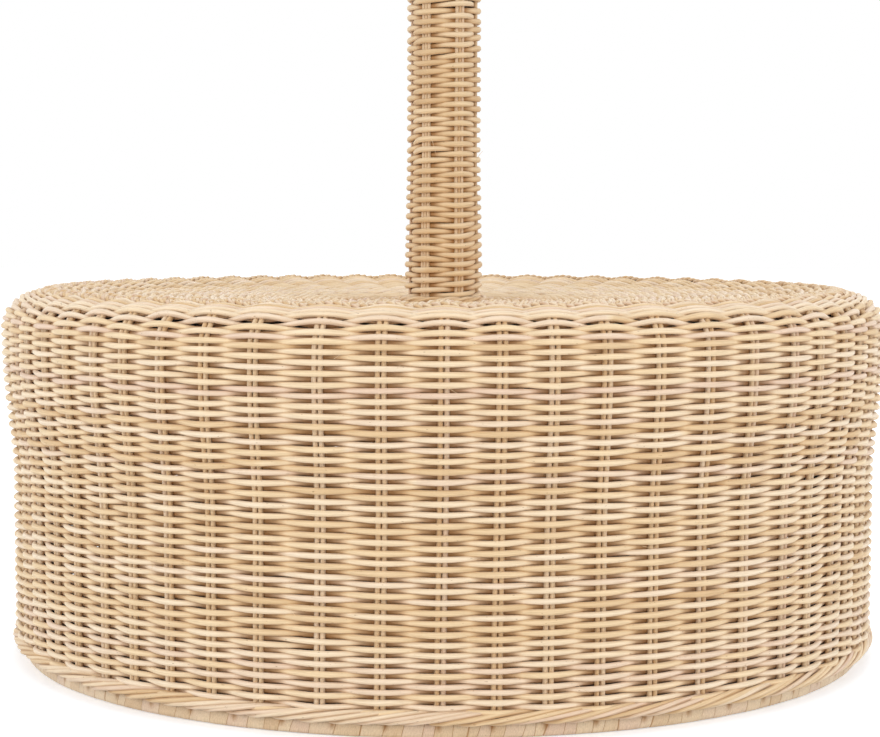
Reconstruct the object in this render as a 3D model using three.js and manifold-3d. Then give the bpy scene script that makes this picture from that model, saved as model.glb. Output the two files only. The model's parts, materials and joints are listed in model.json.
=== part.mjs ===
// A rattan floor lamp: a woven drum base with a weighted steel frame inside, a woven stem,
// and a woven shade that a harp carries over the lampholder.
// Millimetres, +Z up. The floor is z = 0, the lamp's axis is the Z axis and its front faces -Y.

import * as THREE from "three";
import { mergeVertices } from "three/addons/utils/BufferGeometryUtils.js";
import Module from "manifold-3d";

const wasm = await Module();
wasm.setup();

// Clearances
const SEAT_GAP = 0.3;
const HOLE_GAP = 0.3;
const OVERRUN = 2;

// Facets round each kind of piece
const RING_SIDES = 40;
const STEM_SIDES = 18;
const BOLT_SIDES = 8;
const ROD_SIDES = 8;
const HOOP_SIDES = 6;
const HEX_SIDES = 6;

// Woven skins: round weavers that pass before one stake and behind the next
const WEAVE_THICKNESS = 6.5;
const WEAVER_THICKNESS = 3;

// Base
const BASE_STAKES = 59;
const BASE_SIDE_RADIUS = 232;
const BASE_FLARE = 5.5;
const BASE_HEIGHT = 193;
const SHOULDER_RADIUS = 18.5;
const SHOULDER_STEPS = 4;
const TOP_DISH = 6;
// Where the flare starts and ends, as shares of the wall below the shoulder
const FLARE_START_SHARE = 0.48;
const FLARE_END_SHARE = 0.94;
const FLARE_STEPS = 3;

// Wrapped foot ring and the braided border above it
const FOOT_RING_INSET = 0.5;
const FOOT_RING_WIDTH = 11;
const FOOT_RING_HEIGHT = 8;
const SOFT_EDGE = 1.5;
const FOOT_BRAID_OVERLAP = 0.6;
const FOOT_BRAID_HEIGHT = 8.3;
const FOOT_BRAID_PROUD = 1.3;

// Twined ring in the top, inside which the stakes lie too close to stand out
const TWINED_RING_RADIUS = 98;
const TWINED_RING_WIDTH = 5;

// Plaited ring in the top
const PLAIT_OUTER_INSET = 9;
const PLAIT_WIDTH = 10;
const PLAIT_PROUD = 1;

// Steel frame inside the base
const FRAME_ROD_RADIUS = 4;
const HOOP_CLEARANCE = 0.6;
const UPRIGHT_COUNT = 6;
const UPRIGHT_FIRST_ANGLE = Math.PI / 12;
const CROSS_WIDTH = 30;
const CROSS_THICKNESS = 4;
const CROSS_BAR_COUNT = 2;

// Weight on the bottom cross
const WEIGHT_RADIUS = 150;
const WEIGHT_THICKNESS = 12;
const WEIGHT_BOLT_CIRCLE = 100;
const WEIGHT_BOLT_DEPTH = 8;
const BOLT_COUNT = 4;
const BOLT_RADIUS = 3;
const BOLT_HEAD_RADIUS = 5.2;
const BOLT_HEAD_HEIGHT = 3;

// Cover of the underside
const COVER_LIFT = 3;
const COVER_THICKNESS = 3;

// Grommet for the cord, low at the back
const GROMMET_HEIGHT = 32;
const GROMMET_NECK_RADIUS = 5.5;
const GROMMET_BORE_RADIUS = 2.75;
const GROMMET_LIP_RADIUS = 8.5;
const GROMMET_LIP_THICKNESS = 1.5;

// Stem tube and its flange
const STEM_TOP = 1230;
const STEM_TUBE_RADIUS = 14;
const STEM_TUBE_WALL = 1.5;
const STEM_TUBE_TAIL = 12;
const FLANGE_RADIUS = 45;
const FLANGE_THICKNESS = 4;
const FLANGE_BOLT_CIRCLE = 32;

// Woven cover of the stem, with its foot flare, collar and end binding
const STEM_WEAVE_THICKNESS = 5.3;
const STEM_FLARE = 1.4;
const STEM_FLARE_START = 18;
const STEM_FLARE_LENGTH = 57;
const COLLAR_RADIUS = 2.2;
const BINDING_HEIGHT = 5.4;
const BINDING_THICKNESS = 6.2;

// Stem end fittings
const STEM_CAP_RADIUS = 22;
const STEM_CAP_THICKNESS = 3;
const PLUG_HEIGHT = 12;
const NIPPLE_RADIUS = 5;
const NIPPLE_BORE_RADIUS = 3.5;
const NIPPLE_TAIL = 6;
const NIPPLE_RISE = 8;
const LOCK_NUT_FLATS = 14;
const LOCK_NUT_HEIGHT = 4;

// Harp, its saddle, its ferrules and the finial
const SADDLE_WIDTH = 20;
const SADDLE_THICKNESS = 2;
const LUG_HALF_SPAN = 31;
const LUG_THICKNESS = 3;
const LUG_WIDTH = 5;
const LUG_SHOULDER_WIDTH = 9;
const LUG_SHOULDER_HEIGHT = 13;
const LUG_HEIGHT = 20;
const HARP_HEIGHT = 254;
const HARP_HALF_WIDTH = 62;
const HARP_WIRE_RADIUS = 1.9;
const HARP_STRAIGHT = 34;
const HARP_STEPS = 36;
const HARP_HUB_RADIUS = 6;
const HARP_HUB_HEIGHT = 6;
const HARP_STUD_RADIUS = 3.1;
const HARP_STUD_HEIGHT = 17;
const FERRULE_RADIUS = 4.8;
const FERRULE_BORE_RADIUS = 3.4;
const FERRULE_HEIGHT = 16;
const FINIAL_BORE_RADIUS = 3.5;
const FINIAL_BORE_DEPTH = 15;
const FINIAL_HEIGHT = 28;
const FINIAL_RADIUS = 9.5;
const FINIAL_FOOT_RADIUS = 6.2;
// Height of the harp's widest point as a share of the harp's height
const HARP_WIDEST_SHARE = 0.45;
// Handles of the harp's two curves, as shares of the curves' heights and of its half width
const HARP_LOW_HANDLE_SHARES = [0.35, 0.5];
const HARP_HIGH_HANDLE_SHARE = 0.6;
const HARP_TOP_HANDLE_SHARE = 0.7;

// Lampholder
const HOLDER_NECK_RADIUS = 8.5;
const HOLDER_NECK_HEIGHT = 8;
const HOLDER_CAP_SLOPE = 10;
const HOLDER_CAP_RIM = 7;
const HOLDER_SHELL_RADIUS = 17.8;
const HOLDER_WALL = 0.9;
const HOLDER_SHELL_HEIGHT = 42;
const HOLDER_BODY_HEIGHT = 20;
const HOLDER_FEATHER = 0.6;
const SCREW_SHELL_WALL = 0.7;
const LINER_WALL = 0.8;
const SWITCH_SHAFT_RADIUS = 2.4;
const SWITCH_SHAFT_DEPTH = 10;
const SWITCH_SHAFT_REACH = 16;
const SWITCH_KNOB_RADIUS = 6.5;
const SWITCH_KNOB_LENGTH = 13;
const SWITCH_KNOB_STANDOFF = 7;
const SWITCH_KNOB_WALL = 2;

// Bulb
const BULB_CAP_HEIGHT = 24;
const BULB_TIP_RADIUS = 4.5;
const BULB_TIP_SLOPE = 4;
const BULB_THREAD_GAP = 0.5;
const BULB_RADIUS = 30;
const BULB_HEIGHT = 84;
const BULB_WALL = 1;
// Bulb outline from its neck to its crown, as shares of its radius and of its height
const BULB_OUTLINE_SHARES = [
  [0.45, 0],
  [0.5, 0.12],
  [0.72, 0.32],
  [0.94, 0.5],
  [1, 0.66],
  [0.9, 0.83],
  [0.56, 0.96],
];

// Shade
const SHADE_STAKES = 61;
const SHADE_HEIGHT = 300;
const SHADE_BOTTOM_RADIUS = 250;
const SHADE_TOP_RADIUS = 220;
const SHADE_BRAID_HEIGHT = 9;
const SHADE_BRAID_PROUD = 1;
const SHADE_WIRE_RADIUS = 2.5;
const SHADE_WIRE_INSET = 4;
const SHADE_RIB_COUNT = 4;
const SHADE_RIB_RADIUS = 2;
const SPIDER_HUB_RADIUS = 12;
const SPIDER_HUB_THICKNESS = 3;
const SPIDER_ARM_COUNT = 3;
const SPIDER_ARM_RADIUS = 1.8;
const SPIDER_ARM_START = 9;
const SPIDER_DROP = 12;

// How far a woven skin's faces draw in midway between two stakes, where it is one weaver thick
const weaveRelief = (WEAVE_THICKNESS - WEAVER_THICKNESS) / 2;

// What the middle of a facet keeps of a ring's radius
const flatShare = Math.cos(Math.PI / RING_SIDES);
// How far a hoop's section reaches in and out, as a share of its rod's radius
const hoopReachShare = 1 / Math.cos(Math.PI / HOOP_SIDES);
const frameReach = FRAME_ROD_RADIUS * hoopReachShare;
const wireReach = SHADE_WIRE_RADIUS * hoopReachShare;

const material = (color, roughness, metalness) =>
  new THREE.MeshStandardMaterial({ color, roughness, metalness });

const RATTAN = material(0xd8bd93, 0.7, 0);
const CANE = material(0xdfc79f, 0.55, 0);
const FRAME_STEEL = material(0x2a2a2b, 0.5, 0.6);
const CAST_IRON = material(0x3a3a3b, 0.7, 0.7);
const ZINC_STEEL = material(0xb5b7b9, 0.35, 0.9);
const BRASS = material(0xb08d4c, 0.3, 0.9);
const RUBBER = material(0x1c1c1c, 0.8, 0);
const HARDBOARD = material(0x5b4632, 0.85, 0);
const PHENOLIC = material(0x1e1b19, 0.4, 0);
const PAPER = material(0xc9bfa9, 0.9, 0);
const ALUMINIUM = material(0xc8cacc, 0.35, 0.9);
const OPAL_GLASS = material(0xf4f1e8, 0.25, 0);

const lamp = new THREE.Group();

function place(name, geometry, finish) {
  const mesh = new THREE.Mesh(geometry, finish);
  mesh.name = name;
  lamp.add(mesh);
}

// Evenly spaced angles round the lamp's axis
function turnsOf(count, first = 0) {
  return Array.from({ length: count }, (_, i) => first + (i * 2 * Math.PI) / count);
}

// Closed solids as manifolds, and back

function solidOf(geometry) {
  const bare = geometry.clone();
  bare.deleteAttribute("normal");
  bare.deleteAttribute("uv");
  const merged = mergeVertices(bare);
  return new wasm.Manifold(
    new wasm.Mesh({
      numProp: 3,
      vertProperties: merged.attributes.position.array,
      triVerts: new Uint32Array(merged.index.array),
    }),
  );
}

function geometryOf(solid) {
  const { vertProperties, triVerts } = solid.getMesh();
  return new THREE.BufferGeometry()
    .setAttribute("position", new THREE.BufferAttribute(vertProperties, 3))
    .setIndex(new THREE.BufferAttribute(triVerts, 1));
}

function cut(geometry, ...tools) {
  const left = tools.reduce((solid, tool) => solid.subtract(solidOf(tool)), solidOf(geometry));
  return geometryOf(left);
}

function join(...geometries) {
  const whole = geometries.map(solidOf).reduce((a, b) => a.add(b));
  return geometryOf(whole);
}

// Turned shapes about the Z axis, from points [radius, height]

function turned(outline, sides) {
  const points = outline.map(([radius, height]) => new THREE.Vector2(radius, height));
  return new THREE.LatheGeometry(points, sides).rotateX(Math.PI / 2);
}

function turnedLoop(outline, sides) {
  return turned([...outline, outline[0]], sides);
}

// A woven skin, turned, with a ridge over each stake. furrow is the ridge's outline where it draws in.
function wovenLoop(ridge, furrow, stakes) {
  const skin = turnedLoop(ridge, 2 * stakes);
  const drawnIn = turnedLoop(furrow, 2 * stakes).attributes.position;
  const column = ridge.length + 1;
  for (let first = column; first < drawnIn.count; first += 2 * column) {
    for (let i = first; i < first + column; i++) {
      skin.attributes.position.copyAt(i, drawnIn, i);
    }
  }
  return skin;
}

function disc(radius, bottom, top, sides) {
  return turned([[0, bottom], [radius, bottom], [radius, top], [0, top]], sides);
}

function ring(inner, outer, bottom, top, sides) {
  return turnedLoop([[inner, bottom], [outer, bottom], [outer, top], [inner, top]], sides);
}

// A ring of oblong section with its outer corners cut
function softRing(inner, outer, bottom, top) {
  const outline = [
    [inner, bottom],
    [outer - SOFT_EDGE, bottom],
    [outer, bottom + SOFT_EDGE],
    [outer, top - SOFT_EDGE],
    [outer - SOFT_EDGE, top],
    [inner, top],
  ];
  return turnedLoop(outline, RING_SIDES);
}

// A rod bent to a circle, with flats of its section facing up and down
function hoop(radius, height, rodRadius) {
  const corner = rodRadius * hoopReachShare;
  const outline = turnsOf(HOOP_SIDES).map((angle) => [
    radius + corner * Math.cos(angle),
    height + corner * Math.sin(angle),
  ]);
  return turnedLoop(outline, RING_SIDES);
}

// A straight round rod between two points
function rod(from, to, radius, sides = ROD_SIDES) {
  const along = new THREE.Vector3().subVectors(to, from);
  const turn = new THREE.Quaternion().setFromUnitVectors(
    new THREE.Vector3(0, 1, 0),
    along.clone().normalize(),
  );
  const middle = new THREE.Vector3().addVectors(from, to).multiplyScalar(1 / 2);
  return new THREE.CylinderGeometry(radius, radius, along.length(), sides)
    .applyQuaternion(turn)
    .translate(middle.x, middle.y, middle.z);
}

function polar(radius, angle, height) {
  return new THREE.Vector3(radius * Math.cos(angle), radius * Math.sin(angle), height);
}

function block(width, depth, bottom, top) {
  return new THREE.BoxGeometry(width, depth, top - bottom).translate(0, 0, (bottom + top) / 2);
}

// A bolt standing on its head, its shank upwards
function bolt(headBottom, shankTop) {
  const headTop = headBottom + BOLT_HEAD_HEIGHT;
  const outline = [
    [0, headBottom],
    [BOLT_HEAD_RADIUS, headBottom],
    [BOLT_HEAD_RADIUS, headTop],
    [BOLT_RADIUS, headTop],
    [BOLT_RADIUS, shankTop],
    [0, shankTop],
  ];
  return turned(outline, BOLT_SIDES);
}

function holes(circle, bottom, top) {
  return turnsOf(BOLT_COUNT).map((angle) =>
    rod(
      polar(circle, angle, bottom),
      polar(circle, angle, top),
      BOLT_RADIUS + HOLE_GAP,
      BOLT_SIDES,
    ),
  );
}

function placeBolts(name, circle, headBottom, shankTop, finish) {
  turnsOf(BOLT_COUNT).forEach((angle, i) => {
    const at = polar(circle, angle, 0);
    place(`${name}_${i + 1}`, bolt(headBottom, shankTop).translate(at.x, at.y, 0), finish);
  });
}

// Heights and radii of the base that follow from the sizes above

const sideInnerRadius = BASE_SIDE_RADIUS - WEAVE_THICKNESS;
const rimRadius = BASE_SIDE_RADIUS + BASE_FLARE;
const shoulderCentre = rimRadius - SHOULDER_RADIUS;
const shoulderHeight = BASE_HEIGHT - SHOULDER_RADIUS;
const footBraidBottom = FOOT_RING_HEIGHT - FOOT_BRAID_OVERLAP;
const footBraidTop = footBraidBottom + FOOT_BRAID_HEIGHT;
const sideBottom = footBraidTop + SEAT_GAP;
const dishBottom = BASE_HEIGHT - TOP_DISH;

const hoopRadius = sideInnerRadius - SEAT_GAP - frameReach;
const bottomHoopHeight = FOOT_RING_HEIGHT + SEAT_GAP + FRAME_ROD_RADIUS;
const hoopOffset = SHOULDER_RADIUS - WEAVE_THICKNESS - HOOP_CLEARANCE - frameReach;
const topHoopHeight =
  shoulderHeight + Math.sqrt(hoopOffset ** 2 - (hoopRadius - shoulderCentre) ** 2);

const topCrossTop = topHoopHeight - FRAME_ROD_RADIUS - SEAT_GAP;
const topCrossBottom = topCrossTop - CROSS_THICKNESS;
const bottomCrossTop = bottomHoopHeight + CROSS_THICKNESS / 2;
const bottomCrossBottom = bottomCrossTop - CROSS_THICKNESS;

const stemBoreRadius = STEM_TUBE_RADIUS + SEAT_GAP;
const stemRadius = stemBoreRadius + STEM_WEAVE_THICKNESS;
const stemFootRadius = stemRadius + STEM_FLARE;

// Height of the dished top's upper face
function topSurface(radius) {
  return dishBottom + TOP_DISH * (radius / shoulderCentre) ** 2;
}

// Base skins

function placeFoot() {
  const outer = sideInnerRadius - FOOT_RING_INSET;
  const footRing = softRing(outer - FOOT_RING_WIDTH, outer, 0, FOOT_RING_HEIGHT);
  place("foot_ring", footRing, CANE);

  const braid = softRing(
    sideInnerRadius,
    BASE_SIDE_RADIUS + FOOT_BRAID_PROUD,
    footBraidBottom,
    footBraidTop,
  );
  place("foot_braid", braid, RATTAN);
}

// The wall's outline from its foot to the top's plaited ring, moved inwards by depth
function sideOutline(depth) {
  const wall = shoulderHeight - sideBottom;
  const flareStart = sideBottom + wall * FLARE_START_SHARE;
  const flareRise = wall * (FLARE_END_SHARE - FLARE_START_SHARE);
  const points = [[BASE_SIDE_RADIUS - depth, sideBottom]];
  for (let i = 0; i <= FLARE_STEPS; i++) {
    const along = i / FLARE_STEPS;
    const swell = (1 - Math.cos(Math.PI * along)) / 2;
    points.push([BASE_SIDE_RADIUS + BASE_FLARE * swell - depth, flareStart + flareRise * along]);
  }
  for (let i = 0; i <= SHOULDER_STEPS; i++) {
    const angle = (Math.PI / 2) * (i / SHOULDER_STEPS);
    const reach = SHOULDER_RADIUS - depth;
    points.push([
      shoulderCentre + reach * Math.cos(angle),
      shoulderHeight + reach * Math.sin(angle),
    ]);
  }
  const end = shoulderCentre - PLAIT_OUTER_INSET + SEAT_GAP;
  points.push([end, topSurface(end) - depth]);
  return points;
}

// Both faces of the wall, each moved into it by relief
function sideFaces(relief) {
  return [...sideOutline(relief), ...sideOutline(WEAVE_THICKNESS - relief).reverse()];
}

function placeSide() {
  const skin = wovenLoop(sideFaces(0), sideFaces(weaveRelief), BASE_STAKES);
  const hole = rod(
    new THREE.Vector3(0, sideInnerRadius - WEAVE_THICKNESS, GROMMET_HEIGHT),
    new THREE.Vector3(0, rimRadius + OVERRUN, GROMMET_HEIGHT),
    GROMMET_NECK_RADIUS + HOLE_GAP,
    BOLT_SIDES,
  );
  place("base_side_weave", cut(skin, hole), RATTAN);
}

function placeTop() {
  const plaitOuter = shoulderCentre - PLAIT_OUTER_INSET;
  const plaitInner = plaitOuter - PLAIT_WIDTH;
  const plaitMiddle = (plaitOuter + plaitInner) / 2;
  const plait = [
    [plaitInner, topSurface(plaitInner) - WEAVE_THICKNESS],
    [plaitOuter, topSurface(plaitOuter) - WEAVE_THICKNESS],
    [plaitOuter, topSurface(plaitOuter)],
    [plaitMiddle, topSurface(plaitMiddle) + PLAIT_PROUD],
    [plaitInner, topSurface(plaitInner)],
  ];
  place("base_top_plait", turnedLoop(plait, RING_SIDES), RATTAN);

  const outer = plaitInner * flatShare - SEAT_GAP;
  const inner = stemFootRadius + SEAT_GAP;
  const middle = (TWINED_RING_RADIUS + outer) / 2;
  const plainRadii = [inner, TWINED_RING_RADIUS - TWINED_RING_WIDTH / 2];
  const ridgedRadii = [TWINED_RING_RADIUS + TWINED_RING_WIDTH / 2, middle, outer];
  const faces = (relief) => [
    ...[inner, middle, outer].map((radius) => [radius, topSurface(radius) - WEAVE_THICKNESS]),
    ...ridgedRadii.map((radius) => [radius, topSurface(radius) - relief]).reverse(),
    ...plainRadii.map((radius) => [radius, topSurface(radius)]).reverse(),
  ];
  place("base_top_weave", wovenLoop(faces(0), faces(weaveRelief), BASE_STAKES), RATTAN);
}

// Base frame, weight and underside

function placeFrame() {
  place("base_bottom_hoop", hoop(hoopRadius, bottomHoopHeight, FRAME_ROD_RADIUS), FRAME_STEEL);
  place("base_top_hoop", hoop(hoopRadius, topHoopHeight, FRAME_ROD_RADIUS), FRAME_STEEL);
  const foot = bottomHoopHeight + FRAME_ROD_RADIUS + SEAT_GAP;
  const head = topHoopHeight - FRAME_ROD_RADIUS - SEAT_GAP;
  turnsOf(UPRIGHT_COUNT, UPRIGHT_FIRST_ANGLE).forEach((angle, i) => {
    const upright = rod(
      polar(hoopRadius, angle, foot),
      polar(hoopRadius, angle, head),
      FRAME_ROD_RADIUS,
    );
    place(`base_upright_${i + 1}`, upright, FRAME_STEEL);
  });
}

function crossOf(reach, bottom, top) {
  const bars = turnsOf(2 * CROSS_BAR_COUNT)
    .slice(0, CROSS_BAR_COUNT)
    .map((angle) => block(2 * reach, CROSS_WIDTH, bottom, top).rotateZ(angle));
  return join(...bars);
}

function placeWeight() {
  const hoopInner = (hoopRadius - frameReach) * flatShare;
  const reach = Math.sqrt(hoopInner ** 2 - (CROSS_WIDTH / 2) ** 2) - SEAT_GAP;
  const cross = cut(
    crossOf(reach, bottomCrossBottom, bottomCrossTop),
    ...holes(WEIGHT_BOLT_CIRCLE, bottomCrossBottom - OVERRUN, bottomCrossTop + OVERRUN),
  );
  place("base_bottom_cross", cross, FRAME_STEEL);

  const weightBottom = bottomCrossTop + SEAT_GAP;
  const boltTop = weightBottom + WEIGHT_BOLT_DEPTH;
  const weight = cut(
    disc(WEIGHT_RADIUS, weightBottom, weightBottom + WEIGHT_THICKNESS, RING_SIDES),
    ...holes(WEIGHT_BOLT_CIRCLE, weightBottom - OVERRUN, boltTop + SEAT_GAP),
  );
  place("weight_plate", weight, CAST_IRON);

  const headBottom = bottomCrossBottom - SEAT_GAP - BOLT_HEAD_HEIGHT;
  placeBolts("weight_bolt", WEIGHT_BOLT_CIRCLE, headBottom, boltTop, ZINC_STEEL);
}

function placeUnderside() {
  const radius = sideInnerRadius - FOOT_RING_INSET - FOOT_RING_WIDTH - SEAT_GAP;
  const cover = disc(radius, COVER_LIFT, COVER_LIFT + COVER_THICKNESS, RING_SIDES);
  place("underside_cover", cover, HARDBOARD);
}

// A rubber spool clipped through the wall between two stakes, its bore along Y
function placeGrommet() {
  const halfPitch = Math.PI / BASE_STAKES;
  const lipShare = Math.min(1, GROMMET_LIP_RADIUS / (sideInnerRadius * Math.sin(halfPitch)));
  const relief = weaveRelief * (1 - lipShare);
  const lipTilt = sideInnerRadius * (1 - Math.cos(halfPitch));
  const outside = BASE_SIDE_RADIUS - relief + SEAT_GAP;
  const inside = sideInnerRadius + relief - lipTilt - SEAT_GAP;
  const outline = [
    [GROMMET_BORE_RADIUS, inside - GROMMET_LIP_THICKNESS],
    [GROMMET_LIP_RADIUS, inside - GROMMET_LIP_THICKNESS],
    [GROMMET_LIP_RADIUS, inside],
    [GROMMET_NECK_RADIUS, inside],
    [GROMMET_NECK_RADIUS, outside],
    [GROMMET_LIP_RADIUS, outside],
    [GROMMET_LIP_RADIUS, outside + GROMMET_LIP_THICKNESS],
    [GROMMET_BORE_RADIUS, outside + GROMMET_LIP_THICKNESS],
  ];
  const spool = turnedLoop(outline, BOLT_SIDES).rotateX(-Math.PI / 2);
  place("cord_grommet", spool.translate(0, 0, GROMMET_HEIGHT), RUBBER);
}

// Stem and what holds it to the base

function placeStemMount() {
  const flangeTop = topCrossBottom - SEAT_GAP;
  const flangeBottom = flangeTop - FLANGE_THICKNESS;
  const tubeHole = disc(
    stemBoreRadius,
    topCrossBottom - OVERRUN,
    topCrossTop + OVERRUN,
    STEM_SIDES,
  );
  const cross = cut(
    crossOf(hoopRadius, topCrossBottom, topCrossTop),
    tubeHole,
    ...holes(FLANGE_BOLT_CIRCLE, topCrossBottom - OVERRUN, topCrossTop + OVERRUN),
  );
  place("base_top_cross", cross, FRAME_STEEL);

  const flange = cut(
    ring(stemBoreRadius, FLANGE_RADIUS, flangeBottom, flangeTop, STEM_SIDES),
    ...holes(FLANGE_BOLT_CIRCLE, flangeBottom - OVERRUN, flangeTop + OVERRUN),
  );
  place("stem_flange", flange, FRAME_STEEL);

  const headBottom = flangeBottom - SEAT_GAP - BOLT_HEAD_HEIGHT;
  placeBolts("flange_bolt", FLANGE_BOLT_CIRCLE, headBottom, topCrossTop - SEAT_GAP, ZINC_STEEL);

  const tube = ring(
    STEM_TUBE_RADIUS - STEM_TUBE_WALL,
    STEM_TUBE_RADIUS,
    flangeBottom - STEM_TUBE_TAIL,
    STEM_TOP,
    STEM_SIDES,
  );
  place("stem_tube", tube, FRAME_STEEL);
}

function placeStemWeave() {
  const bindingTop = STEM_TOP - SEAT_GAP;
  const bindingBottom = bindingTop - BINDING_HEIGHT;
  const flareStart = dishBottom + STEM_FLARE_START;
  const weave = [
    [stemBoreRadius, topCrossTop + SEAT_GAP],
    [stemFootRadius, topCrossTop + SEAT_GAP],
    [stemFootRadius, flareStart],
    [stemRadius, flareStart + STEM_FLARE_LENGTH],
    [stemRadius, bindingBottom - SEAT_GAP],
    [stemBoreRadius, bindingBottom - SEAT_GAP],
  ];
  place("stem_weave", turnedLoop(weave, STEM_SIDES), RATTAN);

  const bindingOuter = stemBoreRadius + BINDING_THICKNESS;
  const binding = ring(stemBoreRadius, bindingOuter, bindingBottom, bindingTop, STEM_SIDES);
  place("stem_end_binding", binding, CANE);

  const collarCentre = stemFootRadius + SEAT_GAP + COLLAR_RADIUS;
  const collarHeight = topSurface(collarCentre + COLLAR_RADIUS) + SEAT_GAP + COLLAR_RADIUS;
  const collar = turnsOf(ROD_SIDES).map((angle) => [
    collarCentre + COLLAR_RADIUS * Math.cos(angle),
    collarHeight + COLLAR_RADIUS * Math.sin(angle),
  ]);
  place("stem_foot_collar", turnedLoop(collar, STEM_SIDES), RATTAN);
}

const nippleHoleRadius = NIPPLE_RADIUS + HOLE_GAP;
const capBottom = STEM_TOP + SEAT_GAP;
const saddleBottom = capBottom + STEM_CAP_THICKNESS + SEAT_GAP;
const saddleTop = saddleBottom + SADDLE_THICKNESS;

function placeStemEnd() {
  const cap = ring(
    nippleHoleRadius,
    STEM_CAP_RADIUS,
    capBottom,
    capBottom + STEM_CAP_THICKNESS,
    STEM_SIDES,
  );
  place("stem_cap", cap, BRASS);

  const plugBottom = STEM_TOP - PLUG_HEIGHT;
  const plugRadius = STEM_TUBE_RADIUS - STEM_TUBE_WALL - SEAT_GAP;
  const plug = ring(nippleHoleRadius, plugRadius, plugBottom, STEM_TOP, STEM_SIDES);
  place("stem_plug", plug, ZINC_STEEL);

  const nutTop = plugBottom - SEAT_GAP;
  const nutBottom = nutTop - LOCK_NUT_HEIGHT;
  const nut = cut(
    disc(LOCK_NUT_FLATS / 2 / Math.cos(Math.PI / HEX_SIDES), nutBottom, nutTop, HEX_SIDES),
    disc(nippleHoleRadius, nutBottom - OVERRUN, nutTop + OVERRUN, STEM_SIDES),
  );
  place("nipple_lock_nut", nut, ZINC_STEEL);

  const nipple = ring(
    NIPPLE_BORE_RADIUS,
    NIPPLE_RADIUS,
    nutBottom - NIPPLE_TAIL,
    saddleTop + NIPPLE_RISE,
    STEM_SIDES,
  );
  place("threaded_nipple", nipple, ZINC_STEEL);
}

// Harp: saddle, wire, ferrules and finial

const lugTop = saddleBottom + LUG_HEIGHT;
const shadeSeat = saddleBottom + HARP_HEIGHT;

function placeSaddle() {
  const strip = block(2 * LUG_HALF_SPAN + LUG_THICKNESS, SADDLE_WIDTH, saddleBottom, saddleTop);
  const lugs = [-LUG_HALF_SPAN, LUG_HALF_SPAN].flatMap((x) => {
    const shoulderTop = saddleBottom + LUG_SHOULDER_HEIGHT;
    const shoulder = block(LUG_THICKNESS, LUG_SHOULDER_WIDTH, saddleBottom, shoulderTop);
    const tongue = block(LUG_THICKNESS, LUG_WIDTH, saddleBottom, lugTop);
    return [shoulder.translate(x, 0, 0), tongue.translate(x, 0, 0)];
  });
  const hole = disc(nippleHoleRadius, saddleBottom - OVERRUN, saddleTop + OVERRUN, STEM_SIDES);
  place("harp_saddle", cut(join(strip, ...lugs), hole), BRASS);
}

// One half of the harp's wire, from its foot to its hub, on the side that side gives (1 or -1)
function harpHalf(side) {
  const foot = lugTop + SEAT_GAP;
  const bend = foot + HARP_STRAIGHT;
  const top = shadeSeat - HARP_HUB_HEIGHT / 2;
  const widest = foot + (top - foot) * HARP_WIDEST_SHARE;
  const at = (x, z) => new THREE.Vector3(side * x, 0, z);
  const [lowShare, lowBackShare] = HARP_LOW_HANDLE_SHARES;
  const lowRise = widest - bend;
  const highRise = top - widest;
  return [
    new THREE.LineCurve3(at(LUG_HALF_SPAN, foot), at(LUG_HALF_SPAN, bend)),
    new THREE.CubicBezierCurve3(
      at(LUG_HALF_SPAN, bend),
      at(LUG_HALF_SPAN, bend + lowRise * lowShare),
      at(HARP_HALF_WIDTH, widest - lowRise * lowBackShare),
      at(HARP_HALF_WIDTH, widest),
    ),
    new THREE.CubicBezierCurve3(
      at(HARP_HALF_WIDTH, widest),
      at(HARP_HALF_WIDTH, widest + highRise * HARP_HIGH_HANDLE_SHARE),
      at(HARP_HALF_WIDTH * HARP_TOP_HANDLE_SHARE, top),
      at(0, top),
    ),
  ];
}

function backwards(curve) {
  if (curve.isLineCurve3) return new THREE.LineCurve3(curve.v2, curve.v1);
  return new THREE.CubicBezierCurve3(curve.v3, curve.v2, curve.v1, curve.v0);
}

function placeHarp() {
  const path = new THREE.CurvePath();
  harpHalf(1).forEach((curve) => path.add(curve));
  harpHalf(-1)
    .reverse()
    .forEach((curve) => path.add(backwards(curve)));
  const section = new THREE.Shape(
    turnsOf(ROD_SIDES).map(
      (angle) =>
        new THREE.Vector2(HARP_WIRE_RADIUS * Math.cos(angle), HARP_WIRE_RADIUS * Math.sin(angle)),
    ),
  );
  const wire = new THREE.ExtrudeGeometry(section, {
    steps: HARP_STEPS,
    bevelEnabled: false,
    extrudePath: path,
  });
  const hub = disc(HARP_HUB_RADIUS, shadeSeat - HARP_HUB_HEIGHT, shadeSeat, STEM_SIDES);
  const stud = disc(
    HARP_STUD_RADIUS,
    shadeSeat - HARP_HUB_HEIGHT / 2,
    shadeSeat + HARP_STUD_HEIGHT,
    BOLT_SIDES,
  );
  place("harp", join(wire, hub, stud), BRASS);
}

function placeFerrules() {
  const bottom = saddleBottom + LUG_SHOULDER_HEIGHT + SEAT_GAP;
  const sides = { left: -1, right: 1 };
  Object.entries(sides).forEach(([name, side]) => {
    const sleeve = ring(
      FERRULE_BORE_RADIUS,
      FERRULE_RADIUS,
      bottom,
      bottom + FERRULE_HEIGHT,
      BOLT_SIDES,
    );
    place(`harp_ferrule_${name}`, sleeve.translate(side * LUG_HALF_SPAN, 0, 0), BRASS);
  });
}

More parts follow.
